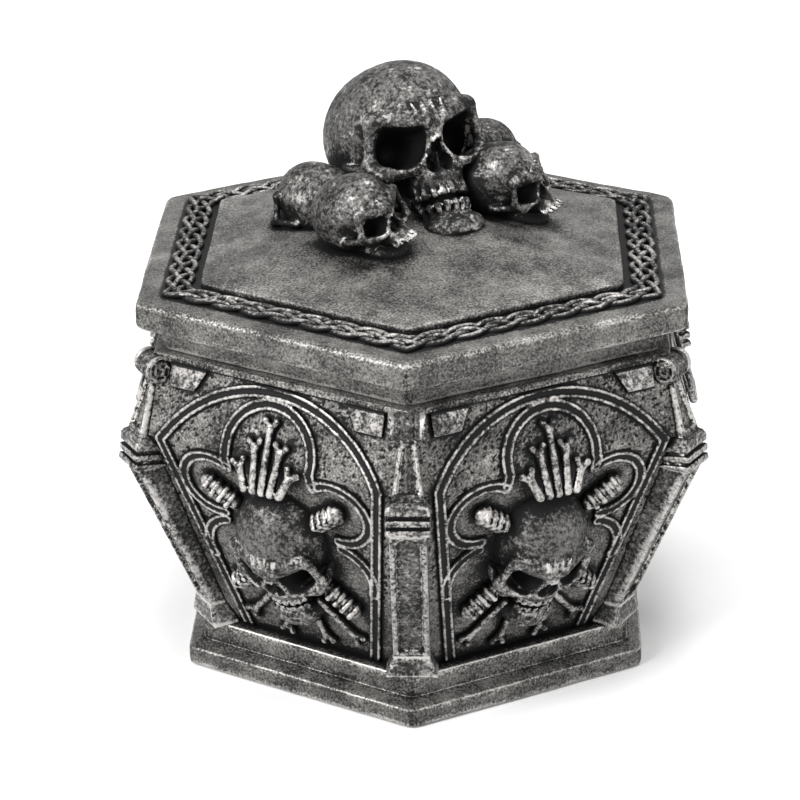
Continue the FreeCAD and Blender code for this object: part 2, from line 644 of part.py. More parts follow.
def side_nodes(outside):
    """Tracery, skull and bones of one side, seated on its two facets, towards -Y."""
    skull_frame = panel_skull_frame()
    head = main_piece(placed(skull(PANEL_SKULL_WIDTH, True), skull_frame).cut(outside))
    room = placed(skull(PANEL_SKULL_WIDTH * SKULL_CLEARANCE, True), skull_frame)
    bones = [main_piece(bone.cut(outside).cut(room)) for bone in panel_bones()]
    return {"tracery": tracery(), "panel_skull": head, "panel_bones": Part.makeCompound(bones)}


def skull_group(roof):
    """The main skull and the small ones round it, each cut to sit on the hipped panel."""
    main = placed(skull(MAIN_SKULL_WIDTH, True), MAIN_SKULL_PLACE)
    nodes = {"main_skull": main_piece(main.cut(roof))}
    taken = [placed(skull(MAIN_SKULL_WIDTH * SKULL_CLEARANCE, True), MAIN_SKULL_PLACE)]
    small = skull(SMALL_SKULL_WIDTH, False)
    room = skull_mass(SMALL_SKULL_WIDTH * SKULL_CLEARANCE)
    for name, place in SMALL_SKULL_PLACES.items():
        head = placed(small, place)
        for other in [roof] + taken:
            if head.BoundBox.intersect(other.BoundBox):
                head = main_piece(head.cut(other))
        nodes[name] = head
        taken.append(placed(room, place))
    return nodes


def assembly():
    outside = bowl_outside()
    half_turn = 180 / SIDES
    side = side_nodes(turned(outside, half_turn))
    post = pier(outside)
    nodes = {"felt_pad": felt_pad(), "plinth": plinth(), "bowl": bowl()}
    for k, name in enumerate(PIER_NAMES):
        nodes["pier_" + name] = turned(post, 2 * half_turn * k)
    for k, name in enumerate(SIDE_NAMES):
        for kind, shape in side.items():
            nodes[kind + "_" + name] = turned(shape, half_turn + 2 * half_turn * k)
    roof = hip_panel()
    nodes.update({"lid_slab": lid_slab(), "hip_panel": roof, "knot_border": knot_border()})
    nodes.update(skull_group(roof))
    return nodes


os.makedirs("parts", exist_ok=True)
for node, shape in assembly().items():
    shape.exportStep("parts/" + node + ".step")
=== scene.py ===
import math

import bpy
import numpy as np
from mathutils import Matrix, Vector


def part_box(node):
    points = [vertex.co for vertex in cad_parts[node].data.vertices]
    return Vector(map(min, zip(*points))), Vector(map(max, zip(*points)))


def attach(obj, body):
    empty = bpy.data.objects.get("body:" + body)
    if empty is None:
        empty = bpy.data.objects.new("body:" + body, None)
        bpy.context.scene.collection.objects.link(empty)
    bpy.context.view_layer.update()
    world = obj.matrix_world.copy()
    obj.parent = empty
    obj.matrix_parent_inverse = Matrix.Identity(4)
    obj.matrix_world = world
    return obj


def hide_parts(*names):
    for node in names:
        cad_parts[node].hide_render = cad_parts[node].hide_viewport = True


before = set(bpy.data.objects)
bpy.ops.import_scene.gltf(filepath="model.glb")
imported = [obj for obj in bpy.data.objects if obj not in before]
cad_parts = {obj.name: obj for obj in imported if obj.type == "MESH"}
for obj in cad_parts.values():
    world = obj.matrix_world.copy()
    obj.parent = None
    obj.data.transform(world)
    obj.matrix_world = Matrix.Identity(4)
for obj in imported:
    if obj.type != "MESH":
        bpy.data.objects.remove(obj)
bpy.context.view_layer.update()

# Felt pad: a thin hexagon of black needled craft felt, die-cut and glued into the
# recess under the base, where it carries the weight and keeps the table unscratched.
MM = 0.001
FELT_EDGE, FELT_FIBRE = 0.25, 0.35
FELT_COLUMNS, FELT_SHARPNESS = 12, 120
SIDE_TURNS = [30 + 60 * k for k in range(6)]
HALF_SIDE = math.tan(math.pi / 6)


def cad_millimetres(node):
    """Lowest and highest corner of a CAD node in millimetres."""
    return [np.array(corner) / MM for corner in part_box(node)]


def linear(colour):
    """An sRGB hex colour as linear red, green, blue and alpha."""
    parts = [int(colour[k:k + 2], 16) / 255 for k in (1, 3, 5)]
    return [c / 12.92 if c <= 0.04045 else ((c + 0.055) / 1.055) ** 2.4 for c in parts] + [1.0]


def add(tree, kind, inputs=None, **settings):
    """Adds one node with its settings; an input is a value or the output that feeds it."""
    item = tree.nodes.new(kind)
    for name, value in settings.items():
        setattr(item, name, value)
    for name, value in (inputs or {}).items():
        if isinstance(value, bpy.types.NodeSocket):
            tree.links.new(value, item.inputs[name])
        else:
            item.inputs[name].default_value = value
    return item


def patches(tree, spot, size, detail, roughness=0.5):
    """Random light and dark, one patch in about size millimetres."""
    return add(tree, "ShaderNodeTexNoise", {"Vector": spot, "Scale": 1 / (size * MM), "Detail": detail,
                                            "Roughness": roughness}).outputs["Fac"]


def blend(tree, share, first, second):
    """One colour run into another by a share."""
    return add(tree, "ShaderNodeMix", {"Factor": share, 6: first, 7: second}, data_type="RGBA").outputs[2]


def new_material(name):
    """An empty material and its tree of nodes."""
    material = bpy.data.materials.new(name)
    material.use_nodes = True
    material.node_tree.nodes.clear()
    return material, material.node_tree


def turned_about(points, degrees):
    """Points turned about the box's upright middle line."""
    angle = np.radians(degrees)
    x, y = points[:, 0], points[:, 1]
    return np.column_stack((x * np.cos(angle) - y * np.sin(angle), x * np.sin(angle) + y * np.cos(angle),
                            points[:, 2]))


def hex_reach(x, y, sharpness=None):
    """How far out a point lies, as the apothem of the hexagon through it; sharpness rounds the corners."""
    sides = (np.abs(x), np.abs(x / 2 + y * math.sqrt(0.75)), np.abs(x / 2 - y * math.sqrt(0.75)))
    furthest = np.maximum.reduce(sides)
    if sharpness is None:
        return furthest
    furthest = furthest + 1e-9
    return furthest * sum((side / furthest) ** sharpness for side in sides) ** (1 / sharpness)


def hexagonal_body(profile, columns, sharpness):
    """A closed hexagonal body from rows of (apothem, height), from the middle below to the middle above."""
    along = np.arange(columns) / columns * 2 - 1
    side = np.column_stack((along * HALF_SIDE, -np.ones(columns), np.zeros(columns)))
    ring = np.vstack([turned_about(side, turn) for turn in SIDE_TURNS])[:, :2]
    ring /= hex_reach(ring[:, 0], ring[:, 1], sharpness)[:, None]
    count = len(ring)
    inner = profile[1:-1]
    points = [np.array([[0, 0, profile[0][1]]])]
    points += [np.column_stack((ring * reach, np.full(count, height))) for reach, height in inner]
    points.append(np.array([[0, 0, profile[-1][1]]]))
    here = np.arange(count)
    after = np.roll(here, -1)
    quads = []
    for row in range(len(inner) - 1):
        low = 1 + row * count
        quads.append(np.column_stack((low + here, low + after, low + count + after, low + count + here)))
    last = 1 + (len(inner) - 1) * count
    caps = [np.column_stack((np.zeros(count, int), 1 + after, 1 + here)),
            np.column_stack((np.full(count, last + count), last + here, last + after))]
    return np.vstack(points), [np.vstack(quads)] + caps


def make_piece(name, points, faces, material, body, nodes, layers=None):
    """A finished piece from points in millimetres, riding its body and standing for its CAD nodes."""
    mesh = bpy.data.meshes.new(name)
    mesh.vertices.add(len(points))
    mesh.vertices.foreach_set("co", (np.asarray(points, float) * MM).ravel())
    corners = np.concatenate([np.asarray(block).ravel() for block in faces])
    sizes = np.concatenate([np.full(len(block), len(block[0])) for block in faces])
    mesh.loops.add(len(corners))
    mesh.loops.foreach_set("vertex_index", corners)
    mesh.polygons.add(len(sizes))
    mesh.polygons.foreach_set("loop_start", np.concatenate(([0], np.cumsum(sizes)[:-1])))
    mesh.polygons.foreach_set("use_smooth", np.ones(len(sizes), bool))
    mesh.update(calc_edges=True)
    mesh.validate()
    for layer, values in (layers or {}).items():
        kept = mesh.attributes.new(layer, "FLOAT", "POINT")
        kept.data.foreach_set("value", np.asarray(values, np.float32))
    mesh.materials.append(material)
    piece = bpy.data.objects.new(name, mesh)
    bpy.context.collection.objects.link(piece)
    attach(piece, body)
    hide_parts(*nodes)
    return piece


# Black needled felt: matt, a soft grey bloom where loose fibres catch the light, no gloss.
felt_black, tree = new_material("black_needled_felt")
fibres = patches(tree, add(tree, "ShaderNodeTexCoord").outputs["Object"], FELT_FIBRE, 3.0)
shade = blend(tree, fibres, linear("#0d0d0e"), linear("#2b2a2a"))
nap = add(tree, "ShaderNodeBump", {"Height": fibres, "Strength": 0.6, "Distance": 0.1 * MM}).outputs["Normal"]
surface = add(tree, "ShaderNodeBsdfPrincipled", {"Base Color": shade, "Roughness": 0.95, "Normal": nap,
                                                 "Sheen Weight": 0.3}).outputs["BSDF"]
add(tree, "ShaderNodeOutputMaterial", {"Surface": surface})

felt_low, felt_high = cad_millimetres("felt_pad")
felt_reach = felt_high[0]
felt_profile = [(0, felt_low[2]), (felt_reach / 2, felt_low[2]), (felt_reach - FELT_EDGE, felt_low[2]),
                (felt_reach, felt_low[2] + FELT_EDGE), (felt_reach, felt_high[2] - FELT_EDGE),
                (felt_reach - FELT_EDGE, felt_high[2]), (felt_reach / 2, felt_high[2]), (0, felt_high[2])]
points, faces = hexagonal_body(felt_profile, FELT_COLUMNS, FELT_SHARPNESS)
felt_pad = make_piece("felt_pad_cut", points, faces, felt_black, "box", ["felt_pad"])

# Plinth: the stepped hexagonal foot of the box, cast in one with the body from
# filled resin, its edges softened by the mould and the black wash and painted shade caught under the step.
PLINTH_EDGE_TOP, STEP_FOOT, STEP_REACH = 3.75, 5.0, 40.44
RECESS_ROOM = 0.2
PLINTH_ROWS, PLINTH_COLUMNS, PLINTH_SHARPNESS = 1.2, 36, 90
CREASE_WIDTHS, EDGE_WIDTHS = (0.5, 1.1, 2.4, 5.0), (0.25, 0.6, 1.4)
EDGE_SLOPE, EDGE_SPREAD, EDGE_RUB_AND_HIGHLIGHT = 0.68, 0.2, 0.42
GRAIN_SIZE, STREAK_SIZE, CLOUD_SIZE = 0.4, 0.9, 8.0
# Black of the wash, used also for painted shade in creases and under overhangs.
WASH_AND_SHADE_BLACK = "#040404"


def soft_corners(corners, bends=4):
    """A profile with its corners rounded: corners are (apothem, height, radius)."""
    outline = [corners[0][:2]]
    for before, here, after in zip(corners, corners[1:], corners[2:]):
        middle = np.array(here[:2], float)
        to_before, to_after = np.array(before[:2]) - middle, np.array(after[:2]) - middle
        to_before, to_after = to_before / np.hypot(*to_before), to_after / np.hypot(*to_after)
        cut = here[2] / math.tan(math.acos(np.clip(to_before @ to_after, -1, 1)) / 2)
        start, end = middle + to_before * cut, middle + to_after * cut
        for t in np.linspace(0, 1, bends + 1):
            outline.append(tuple((1 - t) ** 2 * start + 2 * t * (1 - t) * middle + t ** 2 * end))
    return outline + [corners[-1][:2]]


def close_rows(profile, step):
    """The same profile with no run longer than step."""
    rows = [profile[0]]
    for start, end in zip(profile, profile[1:]):
        count = max(1, math.ceil(math.dist(start, end) / step))
        start, end = np.array(start), np.array(end)
        rows += [tuple(start + (end - start) * (k + 1) / count) for k in range(count)]
    return rows


def profile_gap(profile, reach, height):
    """Distance to a body with this closed profile, negative inside it."""
    nearest = np.full(reach.shape, 1e9)
    inside = np.zeros(reach.shape, bool)
    for (from_reach, foot), (to_reach, head) in zip(profile, profile[1:] + profile[:1]):
        run, rise = to_reach - from_reach, head - foot
        out, up = reach - from_reach, height - foot
        share = np.clip((out * run + up * rise) / (run * run + rise * rise + 1e-12), 0, 1)
        nearest = np.minimum(nearest, (out - share * run) ** 2 + (up - share * rise) ** 2)
        if head != foot:
            inside ^= ((foot > height) != (head > height)) & (reach < from_reach + up * run / rise)
    return np.where(inside, -1, 1) * np.sqrt(nearest)


def lumps(points, size, seed):
    """Smooth random swelling from -1 to 1, one lump in about size millimetres."""
    table = np.random.default_rng(seed).uniform(-1, 1, 4096)
    cell = np.floor(points / size).astype(np.int64)
    part = points / size - cell
    part = part * part * (3 - 2 * part)
    total = np.zeros(len(points))
    for k in range(8):
        offset = np.array((k & 1, k >> 1 & 1, k >> 2 & 1))
        weight = np.prod(np.where(offset, part, 1 - part), axis=1)
        spot = (cell + offset) @ np.array((73856093, 19349663, 83492791))
        total += weight * table[np.abs(spot) % 4096]
    return total


def hand_made(points, normals, *swells):
    """The points with the unevenness of a hand-made master; a swell is (height, size, seed)."""
    lift = sum(height * lumps(points, size, seed) for height, size, seed in swells)
    return points + normals * lift[:, None]


def outward(points, faces):
    """Unit normals at the points of a mesh, from its faces of three or four corners."""
    total = np.zeros((len(points), 3))
    for block in faces:
        if block.shape[1] <= 4:
            normal = np.cross(points[block[:, 2]] - points[block[:, 0]],
                              points[block[:, -1]] - points[block[:, 1]])
            for corner in range(block.shape[1]):
                for axis in range(3):
                    total[:, axis] += np.bincount(block[:, corner], normal[:, axis], len(points))
    return total / np.maximum(np.linalg.norm(total, axis=1), 1e-12)[:, None]


def weather(points, normals, gap):
    """Wash and shade: how deep a point lies in a crease, partly the wash that pools there and partly painted
    shade. Wear: how far it stands out to be rubbed.
    """
    wash_and_shade = sum(np.clip(1 - gap(points + normals * d) / d, 0, 1) for d in CREASE_WIDTHS) / len(CREASE_WIDTHS)
    wear_and_highlight = sum(np.clip(1 + gap(points - normals * d) / d, 0, 1) for d in EDGE_WIDTHS) / len(EDGE_WIDTHS)
    return {"wash_and_shade": wash_and_shade, "wear_and_highlight": np.clip(wear_and_highlight - 0.5 * wash_and_shade, 0, 1)}


def rubbed_and_highlit_edges(normals):
    """A thin light line along each rounded edge of a level body: partly silver bared by fingers and brush,
    partly a painted highlight on the turn of the edge.
    """
    return EDGE_RUB_AND_HIGHLIGHT * np.clip(1 - np.abs(np.abs(normals[:, 2]) - EDGE_SLOPE) / EDGE_SPREAD, 0, 1)


def times_plus(tree, value, factor, more):
    """Value times factor, plus more."""
    return add(tree, "ShaderNodeMath", {0: value, 1: factor, 2: more}, operation="MULTIPLY_ADD").outputs[0]


def ramp(tree, value, low, high, first=0.0, last=1.0, way="SMOOTHSTEP"):
    """Runs from first to last while value runs from low to high."""
    ends = {"From Min": low, "From Max": high, "To Min": first, "To Max": last}
    return add(tree, "ShaderNodeMapRange", {"Value": value, **ends}, interpolation_type=way).outputs["Result"]


def antique_pewter(name, body, silver, mottle, rubbed, washed_and_shaded):
    """Cast resin with a black wash left in the hollows and silver dry-brushed on what stands proud.

    The eye sees near-black creases, a mottled grey on flats and bright worn edges with a satin gloss. The
    black also paints shade and the silver also paints highlights, where the attributes hold them. The two
    ramp settings each hold how much wear and highlight, or wash and painted shade, counts, and where its edge
    begins and ends."""
    material, tree = new_material(name)
    spot = add(tree, "ShaderNodeTexCoord").outputs["Object"]
    wash_and_shade = add(tree, "ShaderNodeAttribute", attribute_name="wash_and_shade").outputs["Fac"]
    wear_and_highlight = add(tree, "ShaderNodeAttribute", attribute_name="wear_and_highlight").outputs["Fac"]
    drag = add(tree, "ShaderNodeMapping", {"Vector": spot, "Scale": (0.35, 0.35, 1.0)}).outputs["Vector"]
    grain = add(tree, "ShaderNodeMix", {"Factor": 0.55, 2: patches(tree, spot, GRAIN_SIZE, 2.0),
                                        3: patches(tree, drag, STREAK_SIZE, 3.0)}).outputs[0]
    uneven = times_plus(tree, grain, 0.6, patches(tree, spot, mottle, 3.0, 0.6))
    uneven = times_plus(tree, patches(tree, spot, CLOUD_SIZE, 2.0), 0.5, uneven)
    tone = blend(tree, ramp(tree, uneven, 0.9, 1.2, way="LINEAR"), linear(body[0]), linear(body[1]))
    # Silver on the rubbed crests, and painted highlight where the attribute holds it.
    rub = ramp(tree, times_plus(tree, wear_and_highlight, rubbed[0], uneven), rubbed[1], rubbed[2])
    tone = blend(tree, rub, tone, linear(silver))
    # Black over the wash in the hollows, and painted shade where the attribute holds it.
    dark_share = times_plus(tree, wear_and_highlight, -0.5, wash_and_shade)
    stain_and_shade = ramp(tree, times_plus(tree, dark_share, -washed_and_shaded[0], uneven), washed_and_shaded[1], washed_and_shaded[2], 1.0, 0.0)
    tone = blend(tree, stain_and_shade, tone, linear(WASH_AND_SHADE_BLACK))
    dull = times_plus(tree, stain_and_shade, 0.15, ramp(tree, rub, 0.0, 1.0, 0.52, 0.36, "LINEAR"))
    bump = add(tree, "ShaderNodeBump", {"Height": uneven, "Strength": 0.5, "Distance": 0.14 * MM})
    surface = add(tree, "ShaderNodeBsdfPrincipled", {"Base Color": tone, "Roughness": dull, "Metallic": 0.55,
                                                     "Normal": bump.outputs["Normal"]}).outputs["BSDF"]
    add(tree, "ShaderNodeOutputMaterial", {"Surface": surface})
    return material


# Antique pewter on flats: an even grey with fine speckle and faint brush streaks.
pewter_field = antique_pewter("antique_pewter_on_cast_resin_flats", ("#262524", "#72706d"), "#bcb9b6", 0.42,
                              (1.5, 1.15, 1.75), (1.0, 0.45, 0.95))
# Antique pewter on relief: darker and blotchier, silver on the crests and black between them.
pewter_relief = antique_pewter("antique_pewter_on_cast_resin_relief", ("#151515", "#62605e"), "#bcb9b6", 0.8,
                               (1.1, 1.2, 1.8), (1.2, 0.6, 1.0))

plinth_low, plinth_high = cad_millimetres("plinth")
plinth_reach, plinth_foot, STEP_TOP = plinth_high[0], plinth_low[2], plinth_high[2]
recess_reach = felt_reach + RECESS_ROOM
plinth_profile = soft_corners([(0, felt_high[2], 0), (recess_reach, felt_high[2], 0.05),
                               (recess_reach, plinth_foot, 0.1), (plinth_reach, plinth_foot, 0.5),
                               (plinth_reach, PLINTH_EDGE_TOP, 0.7), (STEP_REACH, STEP_FOOT, 0.3),
                               (STEP_REACH, STEP_TOP, 0.6), (0, STEP_TOP, 0)])

# Outline of the bowl above the plinth, which the wash and painted shade on the step follow.
BOX_HEIGHT = cad_millimetres("bowl")[1][2]
FIELD_FOOT, ELBOW, MOUTH = (37.7, STEP_TOP), (51.0, 51.0), (46.3, BOX_HEIGHT)
RIM_FOOT, RIM_PROUD = BOX_HEIGHT - 1.3, 0.7
WELL_REACH, WELL_STRAIGHT_FROM = 40.0, 42.0
WELL_FLOOR_REACH, WELL_FLOOR = 31.0, STEP_TOP + 5.0
rim_reach = MOUTH[0] + (ELBOW[0] - MOUTH[0]) * (BOX_HEIGHT - RIM_FOOT) / (BOX_HEIGHT - ELBOW[1])
bowl_outline = soft_corners([(WELL_FLOOR_REACH, STEP_TOP, 0), (*FIELD_FOOT, 0.1), (*ELBOW, 0.4),
                             (rim_reach, RIM_FOOT, 0.1), (rim_reach + RIM_PROUD, RIM_FOOT, 0.25),
                             (MOUTH[0] + RIM_PROUD, BOX_HEIGHT, 0.35), (WELL_REACH, BOX_HEIGHT, 0.4),
                             (WELL_REACH, WELL_STRAIGHT_FROM, 3), (WELL_FLOOR_REACH, WELL_FLOOR, 0)])
filled_outline = [(0, STEP_TOP), FIELD_FOOT, ELBOW, (rim_reach, RIM_FOOT), (rim_reach + RIM_PROUD, RIM_FOOT),
                  (MOUTH[0] + RIM_PROUD, BOX_HEIGHT), (0, BOX_HEIGHT)]


def body_gap(points, outline=bowl_outline):
    """Distance to the plinth and bowl, with a corner of the hexagon towards -Y as the box stands."""
    reach, height = hex_reach(points[:, 0], points[:, 1]), points[:, 2]
    return np.minimum(profile_gap(outline, reach, height), profile_gap(plinth_profile, reach, height))


def wall_gap(points, outline=bowl_outline):
    """The same with a side of the hexagon towards -Y, where the relief of one side is modelled."""
    return body_gap(points[:, [1, 0, 2]], outline)


points, faces = hexagonal_body(close_rows(plinth_profile, PLINTH_ROWS), PLINTH_COLUMNS, PLINTH_SHARPNESS)
normals = outward(points, faces)
layers = weather(points, normals, body_gap)
# Rubbed silver and a painted highlight along the rounded edges of the plinth.
layers["wear_and_highlight"] = layers["wear_and_highlight"] + rubbed_and_highlit_edges(normals)
points = hand_made(points, normals, (0.1, 8, 1), (0.05, 2.6, 2))
points[:, 2] = np.maximum(points[:, 2], plinth_foot)
make_piece("plinth_cast", points, faces, pewter_field, "box", ["plinth"], layers)

# Tracery of one side: slanted frame, arch and trefoil in a double-bead moulding, and a
# flat lug beside each scroll, modelled in the master and cast with the wall.
FIELD_LENGTH, CREST_LENGTH = math.dist(FIELD_FOOT, ELBOW), math.dist(ELBOW, MOUTH)
SUNK = 0.3
MOULDING_HALF, MOULDING_BASE, BEAD_RADIUS, BEAD_FILLET = 1.15, 0.4, 0.36, 0.08
FRAME_FOOT_HALF, FRAME_ELBOW_HALF, FRAME_RUN_ON = 14.0, 23.3, 1.1
FRAME_START = (FRAME_FOOT_HALF - 1, -4.7)
ARCH_RISE, TOP_LOBE_HEIGHT, TOP_LOBE_RADIUS = 13.0, 1.8, 9.15
STEM_FOOT, STEM_HEAD = FIELD_LENGTH - 2.1, FIELD_LENGTH + 4
SIDE_LOBE, SIDE_LOBE_RADIUS, SIDE_LOBE_ARC = (13.2, FIELD_LENGTH - 7.9), 6.6, (-97, 128)
FOOT_LOBE, FOOT_LOBE_RADIUS, FOOT_LOBE_ARC = (10.8, FIELD_LENGTH - 23.3), 7.2, (-22, 76)
LUG_INNER_FOOT, LUG_OUTER, LUG_HEIGHT, LUG_SLANT = 17.3, 22.8, 4.4, (0.88, 0.48)
LUG_TOP, LUG_MIDDLE, LUG_HALF_THICK = CREST_LENGTH - 1.4, 0.3, 0.6
ARCH_RADIUS = (FRAME_ELBOW_HALF ** 2 + ARCH_RISE ** 2) / (2 * ARCH_RISE)


def on_facet(points, foot, head):
    """Height up a facet from its foot, and how far a point stands out of it, on the side towards -Y."""
    run, rise = head[0] - foot[0], head[1] - foot[1]
    length = math.hypot(run, rise)
    reach, height = -points[:, 1] - foot[0], points[:, 2] - foot[1]
    return (reach * run + height * rise) / length, (reach * rise - height * run) / length


def line_gap(x, y, start, end):
    """Distance to a straight line between two places."""
    run, rise = end[0] - start[0], end[1] - start[1]
    share = np.clip(((x - start[0]) * run + (y - start[1]) * rise) / (run * run + rise * rise), 0, 1)
    return np.hypot(x - start[0] - share * run, y - start[1] - share * rise)


def arc_gap(x, y, centre, radius, arc):
    """Distance to an arc that runs from its first angle to its last, in degrees."""
    away_x, away_y = x - centre[0], y - centre[1]
    angle = np.degrees(np.arctan2(away_y, away_x))
    angle = np.where(angle < arc[0], angle + 360, angle)
    ends = [math.radians(end) for end in arc]
    to_ends = [np.hypot(away_x - radius * math.cos(end), away_y - radius * math.sin(end)) for end in ends]
    return np.where(angle > arc[1], np.minimum(*to_ends), np.abs(np.hypot(away_x, away_y) - radius))


def melt(a, b, soft):
    """Two shapes run together, with a fillet of about soft between them."""
    share = np.clip(0.5 + 0.5 * (b - a) / soft, 0, 1)
    return b + (a - b) * share - soft * share * (1 - share)


def moulding(middle, out):
    """Two round beads side by side on a low base; middle is the distance to the moulding's centre line."""
    half_thick = (MOULDING_BASE + SUNK) / 2
    base = np.maximum(middle - MOULDING_HALF, np.abs(out - MOULDING_BASE / 2 + SUNK / 2) - half_thick)
    bead = np.hypot(middle - MOULDING_HALF + BEAD_RADIUS, out - MOULDING_BASE) - BEAD_RADIUS
    return melt(base, bead, BEAD_FILLET)


def tracery_gap(points):
    """Distance to the tracery on the side towards -Y."""
    across = np.abs(points[:, 0])
    up, out = on_facet(points, FIELD_FOOT, ELBOW)
    frame_end = (FRAME_FOOT_HALF + (FRAME_ELBOW_HALF - FRAME_FOOT_HALF) * FRAME_RUN_ON,
                 FIELD_LENGTH * FRAME_RUN_ON)
    low = np.minimum.reduce([
        moulding(line_gap(across, up, FRAME_START, frame_end), out),
        moulding(arc_gap(across, up, SIDE_LOBE, SIDE_LOBE_RADIUS, SIDE_LOBE_ARC), out),
        moulding(arc_gap(across, up, FOOT_LOBE, FOOT_LOBE_RADIUS, FOOT_LOBE_ARC), out),
        moulding(line_gap(across, up, (TOP_LOBE_RADIUS, STEM_FOOT), (TOP_LOBE_RADIUS, STEM_HEAD)), out)])
    low = np.maximum.reduce([low, points[:, 2] - ELBOW[1], STEP_TOP - points[:, 2]])
    up, out = on_facet(points, ELBOW, MOUTH)
    below = LUG_TOP - LUG_HEIGHT - up
    slanted = (LUG_INNER_FOOT - across) * LUG_SLANT[0] + below * LUG_SLANT[1]
    lug = np.maximum.reduce([np.abs(out - LUG_MIDDLE) - LUG_HALF_THICK, up - LUG_TOP, below,
                             across - LUG_OUTER, slanted])
    high = np.minimum.reduce([
        moulding(np.abs(np.hypot(across, up - ARCH_RISE + ARCH_RADIUS) - ARCH_RADIUS), out),
        moulding(np.abs(np.hypot(across, up - TOP_LOBE_HEIGHT) - TOP_LOBE_RADIUS), out), lug])
    return np.minimum(low, np.maximum(high, ELBOW[1] - points[:, 2]))


# Bones of one side: a fan of long bones over the skull, a short run of spine at each of
# its corners and loose bones at the foot, half sunk in the wall they are cast with.
BONE_RADIUS, KNUCKLE_RADIUS, BONE_LIFT = 0.85, 0.72, 0.65
PRONG_ASIDE, PRONG_AHEAD, PRONG_ROOT, PRONG_RADII = 1.15, 0.7, 1.2, (0.62, 0.55)
FAN_PITCH, FAN_TOP, FAN_STEP_DOWN, FAN_FOOT, FAN_FOOT_SHARE = 2.75, 7.4, 4.1, -5.0, 0.68
LOW_BONE_TIPS, LOW_BONE_FOOT, LOW_FOOT_SHARE = ((4.4, 3.2), (11.6, 5.4)), 13.0, 0.4
SPINES = ((14.4, 37.6, 37), (13.2, 12.6, -43))
SPINE_DISCS, SPINE_PITCH, SPINE_RADIUS, SPINE_LIFT, SPINE_CORE = 4, 1.75, 2.1, 0.9, 1.45
DISC_START, DISC_EDGE, KNOB_RADIUS = 0.8, 0.5, 0.65


def rod(points, start, end, first, last):
    """A round bar between two points, its radius running from first to last."""
    start, end = np.asarray(start, float), np.asarray(end, float)
    run = end - start
    share = np.clip((points - start) @ run / (run @ run), 0, 1)
    return np.linalg.norm(points - start - share[:, None] * run, axis=1) - first - share * (last - first)


def ball(points, centre, radii):
    """A round or squashed ball."""
    scaled = (points - np.asarray(centre)) / np.asarray(radii)
    near = np.linalg.norm(scaled, axis=1)
    steep = np.linalg.norm(scaled / np.asarray(radii), axis=1)
    return near * (near - 1) / np.maximum(steep, 1e-9)


def long_bone(points, foot, tip):
    """A shaft that forks into two knuckles at its tip; places are (across, up, out) on a facet."""
    foot, tip = np.asarray(foot, float), np.asarray(tip, float)
    along = (tip - foot) / np.linalg.norm(tip - foot)
    aside = np.cross(along, (0, 0, 1))
    shape = rod(points, foot, tip - along * 0.4, BONE_RADIUS, BONE_RADIUS * 0.8)
    for side in (-1, 1):
        end = tip + aside * side * PRONG_ASIDE + along * PRONG_AHEAD
        prong = rod(points, tip - along * PRONG_ROOT, end, *PRONG_RADII)
        shape = melt(shape, melt(prong, ball(points, end, [KNUCKLE_RADIUS] * 3), 0.3), 0.4)
    return shape


def spine_run(points, tip, slope):
    """Vertebrae: discs at an even pitch on a slimmer core, each with a knob on top."""
    way = np.array((math.cos(math.radians(slope)), math.sin(math.radians(slope)), 0))
    tip = np.array((*tip, SPINE_LIFT))
    shape = rod(points, tip - way * SPINE_DISCS * SPINE_PITCH, tip - way * 0.6, SPINE_CORE, SPINE_CORE)
    along = (points - tip) @ way
    for k in range(SPINE_DISCS):
        back = k * SPINE_PITCH + DISC_START
        place = tip - way * back
        radius = np.linalg.norm(points - place - ((points - place) @ way)[:, None] * way, axis=1)
        disc = np.hypot(np.maximum(radius - SPINE_RADIUS + DISC_EDGE, 0), along + back) - DISC_EDGE
        knob = ball(points, place + (0, 0, SPINE_RADIUS - 0.1), [KNOB_RADIUS] * 3)
        shape = melt(shape, np.minimum(disc, knob), 0.25)
    return shape


def bones_gap(points):
    """Distance to the bones on the side towards -Y."""
    up, out = on_facet(points, ELBOW, MOUTH)
    crest = np.column_stack((points[:, 0], up, out))
    shapes = []
    for step in range(-2, 3):
        tip = (step * FAN_PITCH, FAN_TOP - abs(step) * FAN_STEP_DOWN, BONE_LIFT)
        shapes.append(long_bone(crest, (tip[0] * FAN_FOOT_SHARE, FAN_FOOT, BONE_LIFT), tip))
    up, out = on_facet(points, FIELD_FOOT, ELBOW)
    field = np.column_stack((np.abs(points[:, 0]), up, out))
    shapes += [long_bone(field, (x * LOW_FOOT_SHARE, LOW_BONE_FOOT, BONE_LIFT), (x, y, BONE_LIFT))
               for x, y in LOW_BONE_TIPS]
    shapes += [spine_run(field, (x, y), slope) for x, y, slope in SPINES]
    return np.minimum.reduce(shapes)


# Panel skull of one side: a skull with its lower jaw closed, bowed a little out of the wall it is
# cast with, the wash left in sockets, nose and teeth. The skulls on the lid share its modelling.
TEETH_A_SIDE, TOOTH_STEP, TOOTH_ARCH = 4, math.radians(19.5), 0.185
SOCKET_TILT = math.radians(17)
PANEL_SKULL_WIDTH, PANEL_SKULL_UP, PANEL_SKULL_SUNK = 21.5, FIELD_LENGTH - 16.5, 2.3
PANEL_SKULL_BOW, PANEL_SKULL_DEPTH = math.radians(6), 0.8
PANEL_SKULL_BUILD = (0.92, -0.3, 0.8)
POOL_DEPTH = 0.06


def scoop(a, b, soft):
    """The first shape with the second taken out of it, the edge eased by about soft."""
    return -melt(-a, b, soft)


